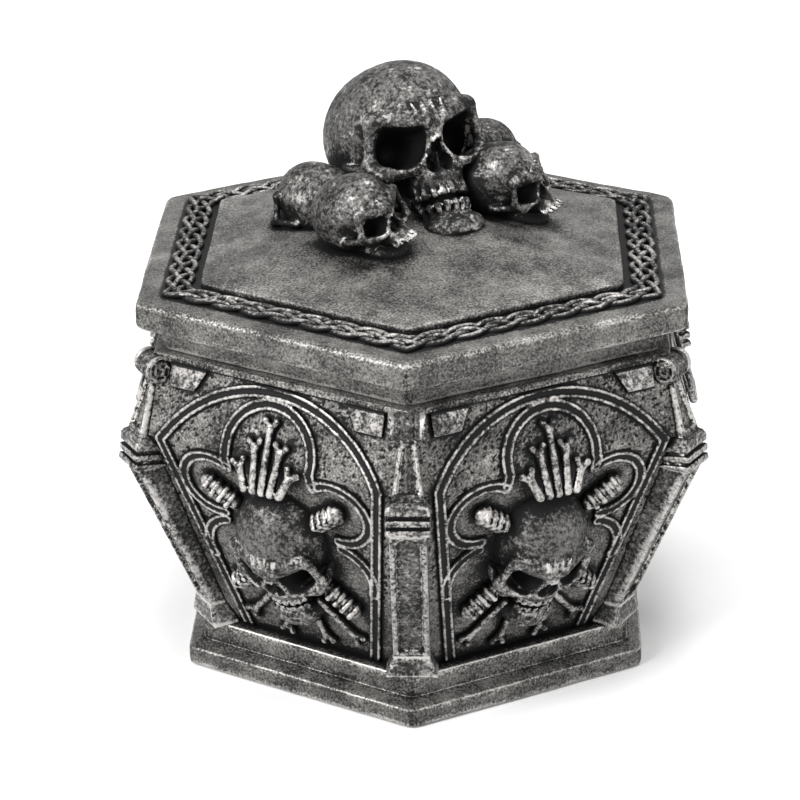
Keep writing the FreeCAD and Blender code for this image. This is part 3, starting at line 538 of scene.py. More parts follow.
def skull_gap(places, jaw, crown, muzzle, eye, hollow=True):
    """Distance to a skull of width 1 that faces -Y, about the middle of its braincase.

    The crown sets how wide the braincase is against the face, the muzzle how far the teeth stand forward
    and the eye how large the sockets are. Without its hollows the eyes, nose and cheeks are filled up."""
    at = np.column_stack((np.abs(places[:, 0]), places[:, 1], places[:, 2]))
    at[:, 1] += muzzle * np.maximum(-0.36 - at[:, 2], 0)

    # Braincase, temples and the block of the face
    shape = melt(ball(at, (0, 0.05, 0.02), (0.5 * crown, 0.55 * crown, 0.48)),
                 ball(at, (0, -0.22, 0.03), (0.425 * crown, 0.37, 0.42)), 0.12)
    shape = scoop(shape, ball(at, (0.09 + 0.5 * crown, -0.28, -0.14), (0.14, 0.19, 0.18)), 0.10)
    shape = melt(shape, ball(at, (0, -0.36, -0.27), (0.25, 0.22, 0.27)), 0.10)
    if hollow:
        shape = scoop(shape, ball(at, (0.34, -0.36, -0.47), (0.185, 0.30, 0.155)), 0.03)

    # Cheekbone in two runs, outer rim of the eye, arch to the ear and brow
    for start, end, first, last, soft in (
            ((0.17, -0.53, -0.335), (0.37, -0.42, -0.315), 0.045, 0.055, 0.03),
            ((0.37, -0.42, -0.315), (0.43, -0.37, -0.22), 0.055, 0.045, 0.03),
            ((0.415, -0.375, -0.24), (0.37, -0.44, 0.02), 0.04, 0.042, 0.035),
            ((0.42, -0.36, -0.27), (0.47 * crown, -0.05, -0.18), 0.045, 0.045, 0.03),
            ((0.05, -0.585, -0.055), (0.35, -0.455, 0.05), 0.075, 0.05, 0.07)):
        shape = melt(shape, rod(at, start, end, first, last), soft)

    # Knot between the brows, bridge of the nose and upper jaw
    shape = melt(shape, ball(at, (0, -0.55, -0.01), (0.08, 0.07, 0.09)), 0.05)
    shape = melt(shape, rod(at, (0, -0.555, -0.07), (0, -0.625, -0.215), 0.045, 0.04), 0.045)
    shape = melt(shape, ball(at, (0, -0.40, -0.42), (0.185, 0.175, 0.13)), 0.06)

    # Sockets, flat under the brow, and the nose with its thin middle wall
    if hollow:
        across, high = at[:, 0] - 0.218, at[:, 2] + 0.15 + 0.15 * (1 - eye)
        even, steep = math.cos(SOCKET_TILT), math.sin(SOCKET_TILT)
        tilted = np.column_stack((across * even + high * steep, at[:, 1] + 0.54,
                                  high * even - across * steep))
        socket = ball(tilted, (0, 0, 0), (0.165 * eye, 0.26, 0.172 * eye))
        shape = scoop(shape, np.maximum(socket, tilted[:, 2] - 0.105 * eye), 0.014)
        shape = scoop(shape, ball(tilted, (-0.01, 0.17, -0.01), (0.125 * eye, 0.20, 0.125 * eye)), 0.03)
        nose = np.minimum(ball(at, (0.045, -0.61, -0.325), (0.05, 0.15, 0.065)),
                          ball(at, (0, -0.63, -0.26), (0.045, 0.15, 0.085)))
        shape = scoop(shape, nose, 0.010)
        shape = np.minimum(shape, rod(at, (0, -0.52, -0.40), (0, -0.555, -0.25), 0.011, 0.009))

    # Frown lines over the nose, and the teeth
    for x, lean in ((0.028, 0.008), (0.085, 0.022)):
        shape = melt(shape, rod(at, (x, -0.648, -0.045), (x + lean, -0.60, 0.085), 0.021, 0.012), 0.01)
    for k in range(TEETH_A_SIDE):
        angle = (k + 0.5) * TOOTH_STEP
        x, y = TOOTH_ARCH * math.sin(angle), -0.375 - TOOTH_ARCH * math.cos(angle)
        shape = melt(shape, rod(at, (0.96 * x, y + 0.012, -0.40), (x, y, -0.53), 0.016, 0.030), 0.006)
        if jaw:
            lower_tooth = rod(at, (0.96 * x, y + 0.016, -0.70), (0.97 * x, y, -0.605), 0.014, 0.028)
            shape = melt(shape, lower_tooth, 0.006)

    # Lower jaw: chin, side and branch to the ear, and the dark filling behind the teeth
    if jaw:
        lower = ball(at, (0, -0.395, -0.68), (0.175, 0.16, 0.085))
        for start, end, first, last in (((0, -0.52, -0.765), (0.13, -0.495, -0.775), 0.085, 0.08),
                                        ((0.13, -0.495, -0.775), (0.235, -0.30, -0.74), 0.08, 0.07),
                                        ((0.235, -0.30, -0.74), (0.31, -0.08, -0.66), 0.07, 0.06),
                                        ((0.31, -0.08, -0.66), (0.35, -0.05, -0.30), 0.06, 0.05)):
            lower = melt(lower, rod(at, start, end, first, last), 0.04)
        lower = melt(lower, ball(at, (0, -0.585, -0.795), (0.10, 0.055, 0.065)), 0.04)
        lower = melt(lower, ball(at, (0.10, -0.565, -0.82), (0.05, 0.045, 0.04)), 0.03)
        shape = np.minimum(shape, lower)
        shape = np.minimum(shape, rod(at, (0, -0.33, -0.72), (0, -0.33, -0.40), 0.155, 0.155))
    neck_foot = -0.70 if jaw else -0.50
    return melt(shape, rod(at, (0, -0.02, neck_foot), (0, 0.0, -0.3), 0.25, 0.25), 0.05)


def panel_skull_gap(points, hollow=True):
    """Distance to the skull on the side towards -Y."""
    up, out = on_facet(points, FIELD_FOOT, ELBOW)
    front, high = -(out + PANEL_SKULL_SUNK) / PANEL_SKULL_DEPTH, up - PANEL_SKULL_UP
    bow, drop = math.cos(PANEL_SKULL_BOW), math.sin(PANEL_SKULL_BOW)
    places = np.column_stack((points[:, 0], front * bow + high * drop, high * bow - front * drop))
    shape = skull_gap(places / PANEL_SKULL_WIDTH, True, *PANEL_SKULL_BUILD, hollow)
    return shape * PANEL_SKULL_WIDTH * PANEL_SKULL_DEPTH


def wash_pooled(depth, width):
    """How much wash has run together in a hollow of a skull of this width, by its depth below the skin."""
    return np.clip(depth / (POOL_DEPTH * width), 0, 1)


# Relief on the six sides: tracery, skull and bones are modelled once, in resin like the wall, and
# turned to each side. Silver is dry-brushed on the crests of the mouldings and bones.
SIDE_NAMES = ("front_right", "right", "back_right", "back_left", "left", "front_left")
TRACERY_MESH, PANEL_SKULL_MESH, BONES_MESH = 0.245, 0.33, 0.3
side_low, side_high = (-27, -57, STEP_TOP - 1), (27, -36, BOX_HEIGHT + 1)
# Height above the wall where silver starts, where it is full, and from which it is thin on a flat top
BRUSHED = {"tracery": (0.46, 0.74, 0.84), "panel_bones": (0.75, 1.5, 9.0)}
SILVER_CAUGHT, SILVER_UNEVEN, SILVER_THIN = 0.44, 0.16, 0.16


def side_gap(points):
    """Everything on the side towards -Y."""
    return np.minimum.reduce([wall_gap(points), tracery_gap(points), bones_gap(points),
                              panel_skull_gap(points)])


def standing_on(carrier, gap):
    """The part of a shape that stands proud of its carrier, sunk a little into it and never in the well."""
    return lambda points: np.maximum(gap(points), -SUNK - carrier(points, filled_outline))


def sculpt(gap, low, high, step):
    """The closed surface where gap changes sign, as points and square faces on a grid of the given step.

    Only blocks of the grid that the surface may pass through are worked out."""
    block = 8
    low = np.asarray(low, float)
    blocks = np.maximum(np.ceil((np.asarray(high) - low) / step / block).astype(int), 1)
    values = np.full(blocks * block, 1e3, np.float32)
    index = np.stack(np.meshgrid(*[np.arange(n) for n in blocks], indexing="ij"), -1).reshape(-1, 3)
    near = gap(low + (index * block + block / 2 - 0.5) * step)
    half_diagonal, margin = 0.87, 1.35
    reach = block * step * half_diagonal * margin
    inner = np.stack(np.meshgrid(*[np.arange(block)] * 3, indexing="ij"), -1).reshape(-1, 3)
    for corner in index[near < -reach] * block:
        values[tuple(slice(c, c + block) for c in corner)] = -1e3
    wanted = np.flatnonzero(np.abs(near) <= reach)
    for part in np.array_split(wanted, max(1, len(wanted) // 300)):
        cells = ((index[part] * block)[:, None, :] + inner[None]).reshape(-1, 3)
        values[tuple(cells.T)] = gap(low + cells * step).astype(np.float32)
    values[[0, -1]] = values[:, [0, -1]] = values[:, :, [0, -1]] = 1e3
    inside = values < 0

    # One point in each cell that the surface crosses, in the middle of its crossings
    nx, ny, nz = np.array(values.shape) - 1
    total = np.zeros((nx, ny, nz), np.uint8)
    offsets = [np.array((k & 1, k >> 1 & 1, k >> 2 & 1)) for k in range(8)]
    for a, b, c in offsets:
        total += inside[a:a + nx, b:b + ny, c:c + nz]
    mixed = (total > 0) & (total < 8)
    cell = np.argwhere(mixed)
    number = np.full(mixed.shape, -1, np.int64)
    number[mixed] = np.arange(len(cell))
    place, count = np.zeros((len(cell), 3)), np.zeros(len(cell))
    for start in offsets:
        for axis in range(3):
            if not start[axis]:
                end = start.copy()
                end[axis] = 1
                a, b = values[tuple((cell + start).T)], values[tuple((cell + end).T)]
                crossed = (a < 0) != (b < 0)
                share = np.where(crossed, a / np.where(crossed, a - b, 1), 0)
                place += crossed[:, None] * (start + share[:, None] * (end - start))
                count += crossed
    points = low + (cell + place / count[:, None]) * step

    # One face round each grid edge that the surface crosses, turned outwards
    quads = []
    for axis in range(3):
        u, v = (axis + 1) % 3, (axis + 2) % 3
        first = [slice(1, -1)] * 3
        first[axis] = slice(0, -1)
        second = list(first)
        second[axis] = slice(1, None)
        changed = inside[tuple(first)] != inside[tuple(second)]
        edge = np.argwhere(changed)
        leaving = inside[tuple(first)][changed]
        edge[:, u] += 1
        edge[:, v] += 1
        ring = []
        for du, dv in ((-1, -1), (0, -1), (0, 0), (-1, 0)):
            spot = edge.copy()
            spot[:, u] += du
            spot[:, v] += dv
            ring.append(number[tuple(spot.T)])
        ring = np.column_stack(ring)
        ring[~leaving] = ring[~leaving][:, ::-1]
        quads.append(ring)
    return points, [np.vstack(quads)]


for kind, gap, step in (("tracery", tracery_gap, TRACERY_MESH),
                        ("panel_skull", panel_skull_gap, PANEL_SKULL_MESH),
                        ("panel_bones", bones_gap, BONES_MESH)):
    points, faces = sculpt(standing_on(wall_gap, gap), side_low, side_high, step)
    layers = weather(points, outward(points, faces), side_gap)
    if kind == "panel_skull":
        layers["wash_and_shade"] += wash_pooled(-panel_skull_gap(points, False), PANEL_SKULL_WIDTH)
    else:
        low, high, flat = BRUSHED[kind]
        height = wall_gap(points)
        crest = np.clip((height - low) / (high - low), 0, 1)
        caught = SILVER_CAUGHT + SILVER_UNEVEN * lumps(points, 1.6, 31) - SILVER_THIN * (height > flat)
        # Silver on the crests by their height above the wall; towards the wall the relief is darkened, partly
        # wash and partly painted shade.
        layers = {"wear_and_highlight": np.clip(caught * crest, 0, 1),
                  "wash_and_shade": np.maximum(layers["wash_and_shade"], 0.6 - 0.6 * crest)}
    for side, turn in zip(SIDE_NAMES, SIDE_TURNS):
        make_piece(kind + "_" + side + "_cast", turned_about(points, turn), faces, pewter_relief, "box",
                   [kind + "_" + side], layers)

# Bowl: the flared six-sided carcass with its well, cast hollow in resin. Its outer walls carry
# the relief, and the ground between the mouldings is pitted with a round tool.
PIT_PITCH, PIT_DEPTH, PIT_TABLE = 1.05, 0.35, 64
PIT_SHIFT, CREST_PIT_SHIFT = 40, 60
GROUND_COLUMNS, GROUND_ROWS, WELL_ROWS = 140, 0.4, 3.0
GROUND_MARGIN, ON_FACET = 0.4, 0.2
GROUND_SWELL, GROUND_RUB, GROUND_RUB_UNEVEN = 0.12, 0.05, 0.08
CREASE_WASH_AND_SHADE, PIT_WASH, RIM_PAINTED_SHADE, RIM_RUB_IN_SHADE = 1.5, 3.2, 0.25, 0.3
WELL_FLOOR_ROWS, WELL_FLOOR_COLUMNS = 2.5, 24
pit_random = np.random.default_rng(11)
pit_place = pit_random.uniform(-0.45, 0.45, (PIT_TABLE, PIT_TABLE, 2))
pit_size = pit_random.uniform(0.02, 0.4, (PIT_TABLE, PIT_TABLE))


def pits(across, up):
    """Depth of the round-tool pits at a place on a facet."""
    cell_x, cell_y = np.floor(across / PIT_PITCH).astype(int), np.floor(up / PIT_PITCH).astype(int)
    depth = np.zeros(across.shape)
    for dx in (-1, 0, 1):
        for dy in (-1, 0, 1):
            i, j = (cell_x + dx) % PIT_TABLE, (cell_y + dy) % PIT_TABLE
            away = np.hypot((cell_x + dx + 0.5 + pit_place[i, j, 0]) * PIT_PITCH - across,
                            (cell_y + dy + 0.5 + pit_place[i, j, 1]) * PIT_PITCH - up)
            depth = np.maximum(depth, np.clip(1 - (away / pit_size[i, j]) ** 2, 0, 1))
    return depth * PIT_DEPTH


rows = []
for here, after in zip(bowl_outline, bowl_outline[1:] + bowl_outline[:1]):
    outside = min(here[1], after[1]) >= STEP_TOP - 0.5 and min(here[0], after[0]) > WELL_REACH * 0.9
    pitted = outside and here[1] < RIM_FOOT
    rows += close_rows([here, after], GROUND_ROWS if pitted else WELL_ROWS)[:-1]
along = np.linspace(-1, 1, GROUND_COLUMNS + 1)
wall = np.array([[(t * reach * HALF_SIDE, -reach, height) for t in along] for reach, height in rows])
wall = wall.reshape(-1, 3)
across = np.abs(wall[:, 0])
up, out = on_facet(wall, FIELD_FOOT, ELBOW)
in_trefoil = ((np.hypot(across - SIDE_LOBE[0], up - SIDE_LOBE[1]) < SIDE_LOBE_RADIUS)
              | (np.hypot(across - FOOT_LOBE[0], up - FOOT_LOBE[1]) < FOOT_LOBE_RADIUS)
              | (across < TOP_LOBE_RADIUS + 0.6) | (up < FOOT_LOBE[1] - 4))
low_ground = (np.abs(out) < ON_FACET) & (wall[:, 2] < ELBOW[1] - GROUND_MARGIN) & ~in_trefoil
depth = np.where(low_ground, pits(wall[:, 0] + PIT_SHIFT, up), 0)
up, out = on_facet(wall, ELBOW, MOUTH)
high_ground = ((np.abs(out) < ON_FACET) & (wall[:, 2] > ELBOW[1] + GROUND_MARGIN)
               & (wall[:, 2] < RIM_FOOT - GROUND_MARGIN))
depth = np.where(high_ground, pits(wall[:, 0] + PIT_SHIFT, up + CREST_PIT_SHIFT), depth)
ground = low_ground | high_ground
row_starts = np.arange(len(rows)) * (GROUND_COLUMNS + 1)
here = row_starts[:, None] + np.arange(GROUND_COLUMNS)[None]
after = np.roll(here, -1, axis=0)
wall_faces = [np.column_stack((here.ravel(), here.ravel() + 1, after.ravel() + 1, after.ravel())),
              row_starts[None, ::-1], row_starts[None] + GROUND_COLUMNS]
normals = outward(wall, wall_faces)
off_the_mitre = across < 0.98 * np.abs(wall[:, 1]) * HALF_SIDE
uneven = np.where(off_the_mitre & ground, GROUND_SWELL * lumps(wall, 2.2, 5), 0)
in_well = wall_gap(wall, filled_outline) < -0.5
bare = weather(wall, normals, wall_gap)
# The wall is darkened near the relief it carries and the darkening raised by half: partly wash in the
# creases, partly painted shade of the skull and bones.
layers = weather(wall, normals, side_gap)
layers = {name: np.where(in_well, bare[name], layer) for name, layer in layers.items()}
# Painted shade on the rim under the lid's overhang: darker, and with less silver.
on_rim = wall[:, 2] > RIM_FOOT - 0.3
layers["wear_and_highlight"] = np.where(on_rim, RIM_RUB_IN_SHADE * layers["wear_and_highlight"], layers["wear_and_highlight"])
wash_and_shade_total = CREASE_WASH_AND_SHADE * layers["wash_and_shade"] + PIT_WASH * depth + np.where(on_rim, RIM_PAINTED_SHADE, 0)
layers["wash_and_shade"] = np.clip(wash_and_shade_total, 0, 1)
between_pits = ground & (depth < 0.05)
rubbed = GROUND_RUB + GROUND_RUB_UNEVEN * lumps(wall, 1.1, 6)
layers["wear_and_highlight"] = np.where(between_pits, rubbed, layers["wear_and_highlight"])
wall = wall + normals * (uneven - np.where(off_the_mitre, depth, 0))[:, None]
for side, turn in zip(SIDE_NAMES, SIDE_TURNS):
    make_piece("bowl_wall_" + side, turned_about(wall, turn), wall_faces, pewter_field, "box",
               ["bowl"], layers)
floor_profile = [(0, STEP_TOP), (WELL_FLOOR_REACH, STEP_TOP), (WELL_FLOOR_REACH, WELL_FLOOR), (0, WELL_FLOOR)]
points, faces = hexagonal_body(close_rows(floor_profile, WELL_FLOOR_ROWS), WELL_FLOOR_COLUMNS, None)
layers = weather(points, outward(points, faces), body_gap)
make_piece("bowl_floor", points, faces, pewter_field, "box", ["bowl"], layers)

# Corner piers: a splayed foot, a leaning shaft with a sunk panel, a capital of stacked plates,
# a tapered strut and a ribbed scroll; each is cast and seated on a corner of the bowl.
PIER_NAMES = ("front", "front_right", "back_right", "back", "back_left", "front_left")
PIER_MESH, PIER_RUB = 0.34, 0.1
PIER_HALF, PIER_DEPTH, PIER_FOOT_HALF, PIER_FOOT_HEIGHT = 3.35, 9.0, 4.9, 4.4
PIER_FOOT_TOP, FOOT_SPLAY = STEP_TOP + PIER_FOOT_HEIGHT, 0.94
PIER_FOOT_OUT, PIER_HEAD_OUT, PIER_HEAD = 46.6, 60.0, 44.5
PANEL_MARGIN, PANEL_DEPTH, STIPPLE = 1.05, 0.75, 0.16
CAPITAL_HALF, CAPITAL_PROUD, CAPITAL_PLATE, CAPITAL_NECK, CAPITAL_BEVEL = 4.0, 0.9, 1.3, 0.6, 2.6
CAPITAL_LEAN, BEVEL_SLANT, BEVEL_SQUARE = math.radians(-8), 0.85, 0.76
STRUT_FOOT_HALF, STRUT_HEAD_HALF = 2.9, 1.5
STRUT_MARGIN, STRUT_PANEL_FOOT, STRUT_PANEL_HEAD, STRUT_PANEL_DEPTH = 0.75, 1.4, 0.7, 0.55
SCROLL_RADIUS, SCROLL_HALF, SCROLL_RIBS, RIB_SWELL, SPIRAL_PITCH = 2.7, 3.5, 6, 0.6, 1.15
SCROLL_TOP = BOX_HEIGHT - 0.1
SCROLL_OUT, SCROLL_UP = 54.4, SCROLL_TOP - SCROLL_RADIUS


def block_gap(x, y, z, half, soft):
    """A block of half sizes with edges eased by soft."""
    away = [np.abs(a) - h + soft for a, h in zip((x, y, z), half)]
    outside = np.sqrt(sum(np.maximum(a, 0) ** 2 for a in away))
    return outside + np.minimum(np.maximum.reduce(away), 0) - soft


def pier_gap(points):
    """Distance to a pier on the corner towards -Y, from its foot up to its scroll."""
    x, outer, height = points[:, 0], -points[:, 1], points[:, 2]
    side = np.abs(x)
    rise = np.clip((height - STEP_TOP) / PIER_FOOT_HEIGHT, 0, 1)
    splay = PIER_FOOT_HALF + (PIER_HALF - PIER_FOOT_HALF) * rise
    foot = np.maximum.reduce([(side - splay) * FOOT_SPLAY, outer - PIER_FOOT_OUT,
                              PIER_FOOT_OUT - PIER_DEPTH - outer, STEP_TOP - height, height - PIER_FOOT_TOP])

    shaft_foot, shaft_head = (PIER_FOOT_OUT, PIER_FOOT_TOP), (PIER_HEAD_OUT, PIER_HEAD)
    along, proud = on_facet(points, shaft_foot, shaft_head)
    length, half_deep = math.dist(shaft_foot, shaft_head), PIER_DEPTH / 2
    shaft = block_gap(x, along - length / 2, proud + half_deep, (PIER_HALF, length / 2 + 3, half_deep), 0.25)
    half = PIER_HALF - PANEL_MARGIN
    head = length - PANEL_MARGIN - half
    straight = np.maximum(side - half, PANEL_MARGIN - along)
    sunk = np.where(along > head, np.hypot(x, along - head) - half, straight)
    shaft = scoop(shaft, np.maximum(sunk, -PANEL_DEPTH - proud), 0.12)
    shaft = np.where((sunk < -0.1) & (proud < 0), shaft + STIPPLE * lumps(points, 0.75, 21), shaft)
    shaft = np.maximum.reduce([shaft, PIER_FOOT_TOP - 0.2 - height, height - PIER_HEAD - 0.2])

    lean = (math.sin(CAPITAL_LEAN), math.cos(CAPITAL_LEAN))
    reach, rise = outer - PIER_HEAD_OUT, height - PIER_HEAD
    level, front = reach * lean[0] + rise * lean[1], reach * lean[1] - rise * lean[0]
    deep = (PIER_DEPTH + CAPITAL_PROUD) / 2
    upper = CAPITAL_PLATE + CAPITAL_NECK
    cap = 2 * upper
    top = cap + CAPITAL_BEVEL
    capital = block_gap(x, level - top / 2, front + half_deep, (PIER_HALF, top / 2, half_deep), 0.15)
    for start in (0, upper):
        plate = block_gap(x, level - start - CAPITAL_PLATE / 2, front - CAPITAL_PROUD + deep,
                          (CAPITAL_HALF, CAPITAL_PLATE / 2, deep), 0.25)
        capital = np.minimum(capital, plate)
    over_middle = level - cap - CAPITAL_BEVEL / 2
    slope = (side - CAPITAL_HALF + over_middle * BEVEL_SLANT) * BEVEL_SQUARE
    bevel = block_gap(x, over_middle, front - CAPITAL_PROUD + deep,
                      (CAPITAL_HALF, CAPITAL_BEVEL / 2, deep), 0.25)
    capital = np.minimum(capital, np.maximum(bevel, slope))
    capital = np.maximum(capital, PIER_HEAD - height)

    strut_foot = (PIER_HEAD_OUT + top * lean[0], PIER_HEAD + top * lean[1])
    strut_head = (SCROLL_OUT + SCROLL_RADIUS / 2, SCROLL_TOP - 2 * SCROLL_RADIUS)
    along, proud = on_facet(points, strut_foot, strut_head)
    run = math.dist(strut_foot, strut_head)
    taper = STRUT_FOOT_HALF + (STRUT_HEAD_HALF - STRUT_FOOT_HALF) * along / run
    strut = np.maximum.reduce([side - taper, np.abs(proud + half_deep) - half_deep,
                               np.abs(along - run / 2) - run / 2 - 2.0])
    sunk = np.maximum.reduce([side - taper + STRUT_MARGIN, STRUT_PANEL_FOOT - along,
                              along - run + STRUT_PANEL_HEAD, -STRUT_PANEL_DEPTH - proud])
    strut = scoop(strut, sunk, 0.12)
    strut = np.maximum(strut, strut_foot[1] - 1.5 - height)

    away_out, away_up = outer - SCROLL_OUT, height - SCROLL_UP
    radius = np.hypot(away_out, away_up)
    rib = 2 * SCROLL_HALF / SCROLL_RIBS
    swell = RIB_SWELL * np.abs(np.sin(math.pi * (x + SCROLL_HALF) / rib)) ** 0.6
    roll = np.maximum(radius - SCROLL_RADIUS + RIB_SWELL - swell, side - SCROLL_HALF)
    turn = np.arctan2(away_up, away_out) / (2 * math.pi)
    winding = np.abs((radius / SPIRAL_PITCH - turn) % 1 - 0.5)
    groove = np.where(radius < SCROLL_RADIUS - 0.25, np.clip(0.8 - winding * 2.6, 0, 0.7), 0)
    roll = np.maximum(roll, side - SCROLL_HALF + groove)
    return np.minimum.reduce([foot, shaft, capital, strut, roll])


def pier_and_box_gap(points):
    """Distance to the pier and to what it stands on."""
    return np.minimum(pier_gap(points), body_gap(points))


pier_low, pier_high = (-6, -62.5, STEP_TOP - 1), (6, -42, BOX_HEIGHT + 1)
points, faces = sculpt(standing_on(body_gap, pier_gap), pier_low, pier_high, PIER_MESH)
layers = weather(points, outward(points, faces), pier_and_box_gap)
layers["wear_and_highlight"] = layers["wear_and_highlight"] + PIER_RUB
for k, corner in enumerate(PIER_NAMES):
    make_piece("pier_" + corner + "_cast", turned_about(points, 60 * k), faces, pewter_relief, "box",
               ["pier_" + corner], layers)

# Lid slab: a thick hexagonal slab with rounded edges over a set-in frieze, and the plug
# that drops into the mouth of the well; one resin casting, the wash and painted shade left under the
# overhang.
slab_low, slab_high = cad_millimetres("lid_slab")
SLAB_TOP, PLUG_FOOT = slab_high[2], slab_low[2]
SLAB_FOOT, LID_FOOT = SLAB_TOP - 5.3, BOX_HEIGHT + 0.1
SLAB_REACH, FRIEZE_FOOT_REACH, FRIEZE_TOP_REACH, PLUG_REACH = 50.14, 45.38, 46.25, 39.4
SLAB_ROWS, SLAB_COLUMNS, SLAB_SHARPNESS = 1.0, 44, 85
slab_profile = soft_corners([(0, PLUG_FOOT, 0), (PLUG_REACH, PLUG_FOOT, 0.4), (PLUG_REACH, LID_FOOT, 0.1),
                             (FRIEZE_FOOT_REACH, LID_FOOT, 0.3), (FRIEZE_TOP_REACH, SLAB_FOOT, 0.2),
                             (SLAB_REACH, SLAB_FOOT, 1.2), (SLAB_REACH, SLAB_TOP, 1.8), (0, SLAB_TOP, 0)], 5)

# Outline of the hipped panel, which the wash and painted shade on the slab follow.
hip_high = cad_millimetres("hip_panel")[1]
HIP_REACH, HIP_PEAK, HIP_EDGE, HIP_SUNK = hip_high[0], hip_high[2], 1.4, 0.2
hip_profile = soft_corners([(0, SLAB_TOP - HIP_SUNK, 0), (HIP_REACH, SLAB_TOP - HIP_SUNK, 0.05),
                            (HIP_REACH, SLAB_TOP + HIP_EDGE, 0.5), (0, HIP_PEAK, 0)])


def lid_gap(points):
    """Distance to the slab and the hipped panel on it."""
    reach, height = hex_reach(points[:, 0], points[:, 1]), points[:, 2]
    return np.minimum(profile_gap(slab_profile, reach, height), profile_gap(hip_profile, reach, height))


points, faces = hexagonal_body(close_rows(slab_profile, SLAB_ROWS), SLAB_COLUMNS, SLAB_SHARPNESS)
normals = outward(points, faces)
layers = weather(points, normals, lid_gap)
# Rubbed silver and a painted highlight along the rounded edges of the slab.
layers["wear_and_highlight"] = layers["wear_and_highlight"] + rubbed_and_highlit_edges(normals)
points = hand_made(points, normals, (0.14, 9, 31), (0.06, 2.4, 32))
points[:, 2] = np.where(points[:, 2] < LID_FOOT + 0.3, np.maximum(points[:, 2], PLUG_FOOT), points[:, 2])
knot_reach = cad_millimetres("knot_border")[1][0]
# The slab top under the plait is painted full black: wash, and painted shade in the gaps between the strands.
under_knot = (points[:, 2] > SLAB_TOP - 0.5) & (hex_reach(points[:, 0], points[:, 1]) < knot_reach)
layers["wash_and_shade"] = np.where(under_knot, 1, layers["wash_and_shade"])
make_piece("lid_slab_cast", points, faces, pewter_field, "lid", ["lid_slab"], layers)

# Hipped panel: six low slopes that rise from a small upright edge to a peak, cast with the slab.
# Five skulls have their seats on it; the flats keep a cloudy grey, and round each skull the slopes are
# darkened, partly by wash that has run there and partly by painted shade of the skull.
HIP_ROWS, HIP_COLUMNS, HIP_SHARPNESS, HIP_RUB = 0.9, 40, 200, 0.3
LARGE = {"width": 27.9, "jaw": True, "build": (0.97, 0, 1.0), "mesh": 0.0125, "rub": 0.9}
SMALL = {"width": 15.0, "jaw": False, "build": (0.93, 0.8, 0.82), "mesh": 0.0185, "rub": 0.45}
SEATS = (("main_skull", LARGE, (-3.5, 14.5, 93.2), (26, 31, -3)),
         ("small_skull_front_left", SMALL, (-10.8, -12.5, 87.2), (48, 28, -14)),
         ("small_skull_back_left", SMALL, (-17.6, 3.0, 83.8), (-120, 10, 0)),
         ("small_skull_front_right", SMALL, (15.3, 6.2, 87.0), (62, 23, -11)),
         ("small_skull_back_right", SMALL, (11.0, 19.0, 87.3), (110, 8, 0)))


def skull_turn(heading, nod, lean):
    """Turns a skull that faces -Y to its heading, back by its nod and over to one side by its lean."""
    about_z, about_x, about_y = [Matrix.Rotation(math.radians(angle), 3, axis)
                                 for angle, axis in ((heading, "Z"), (-nod, "X"), (lean, "Y"))]
    return np.array(about_z @ about_x @ about_y)


def lid_and_skulls_gap(points):
    """Distance to everything on the lid but the knot."""
    shapes = [lid_gap(points)]
    for name, kind, seat, turns in SEATS:
        places = (points - np.array(seat)) @ skull_turn(*turns) / kind["width"]
        near = np.linalg.norm(places, axis=1) < 1.3
        shape = np.full(len(points), 10.0)
        shape[near] = skull_gap(places[near], kind["jaw"], *kind["build"]) * kind["width"]
        shapes.append(shape)
    return np.minimum.reduce(shapes)


points, faces = hexagonal_body(close_rows(hip_profile, HIP_ROWS), HIP_COLUMNS, HIP_SHARPNESS)
normals = outward(points, faces)
# Darkened round the foot of each skull: partly wash, partly painted shade of the skull.
layers = weather(points, normals, lid_and_skulls_gap)
layers["wear_and_highlight"] *= HIP_RUB
points = hand_made(points, normals, (0.1, 7, 41), (0.07, 2.2, 42))
make_piece("hip_panel_cast", points, faces, pewter_field, "lid", ["hip_panel"], layers)

# Skulls on the lid: one large skull with its lower jaw on the peak and four small ones without
# it round its foot, cast apart in resin and bonded to their seats.
SKULL_LOW, SKULL_HIGH = (-0.62, -0.78, -1.02), (0.62, 0.72, 0.62)
ROUGH_HEIGHT, ROUGH_RUB, ROUGH_WASH = 0.07, 0.4, 0.5
modelled = {}
for kind in (LARGE, SMALL):
    modelled[kind["jaw"]] = sculpt(lambda places: skull_gap(places, kind["jaw"], *kind["build"]),
                                   SKULL_LOW, SKULL_HIGH, kind["mesh"])
for name, kind, seat, turns in SEATS:
    points, faces = modelled[kind["jaw"]]
    pooled = wash_pooled(-skull_gap(points, kind["jaw"], *kind["build"], False), 1)
    points = points * kind["width"] @ skull_turn(*turns).T + np.array(seat)
    normals = outward(points, faces)
    # Darkened in its creases and where it meets the lid or a neighbour: partly wash, partly painted shade.
    layers = weather(points, normals, lid_and_skulls_gap)
    rough = 0.6 * lumps(points, 0.9, 51) + 0.6 * lumps(points, 2.4, 52)
    layers["wear_and_highlight"] = np.clip(kind["rub"] * layers["wear_and_highlight"] + ROUGH_RUB * np.maximum(rough, 0), 0, 1)
    layers["wash_and_shade"] = np.clip(layers["wash_and_shade"] + ROUGH_WASH * np.maximum(-rough, 0) + pooled, 0, 1)
    points = points + normals * (ROUGH_HEIGHT * rough)[:, None]
    make_piece(name + "_cast", points, faces, pewter_relief, "lid", [name], layers)

# Knot border: a four-strand plait laid flat round the hipped panel, one strand over and under
# the next, kinked over each corner of the hexagon; modelled in the master and cast with the slab.
KNOT_STRAND, KNOT_ROWS, KNOT_REPEATS, KNOT_WEAVE = 1.25, 4, 8, 0.3
KNOT_STEPS, KNOT_LIFT, KNOT_INSET = 7, 0.35, 0.9
knot_outer = knot_reach - KNOT_STRAND / 2
knot_inner = HIP_REACH + KNOT_INSET + KNOT_STRAND / 2
side_columns = 2 * KNOT_REPEATS


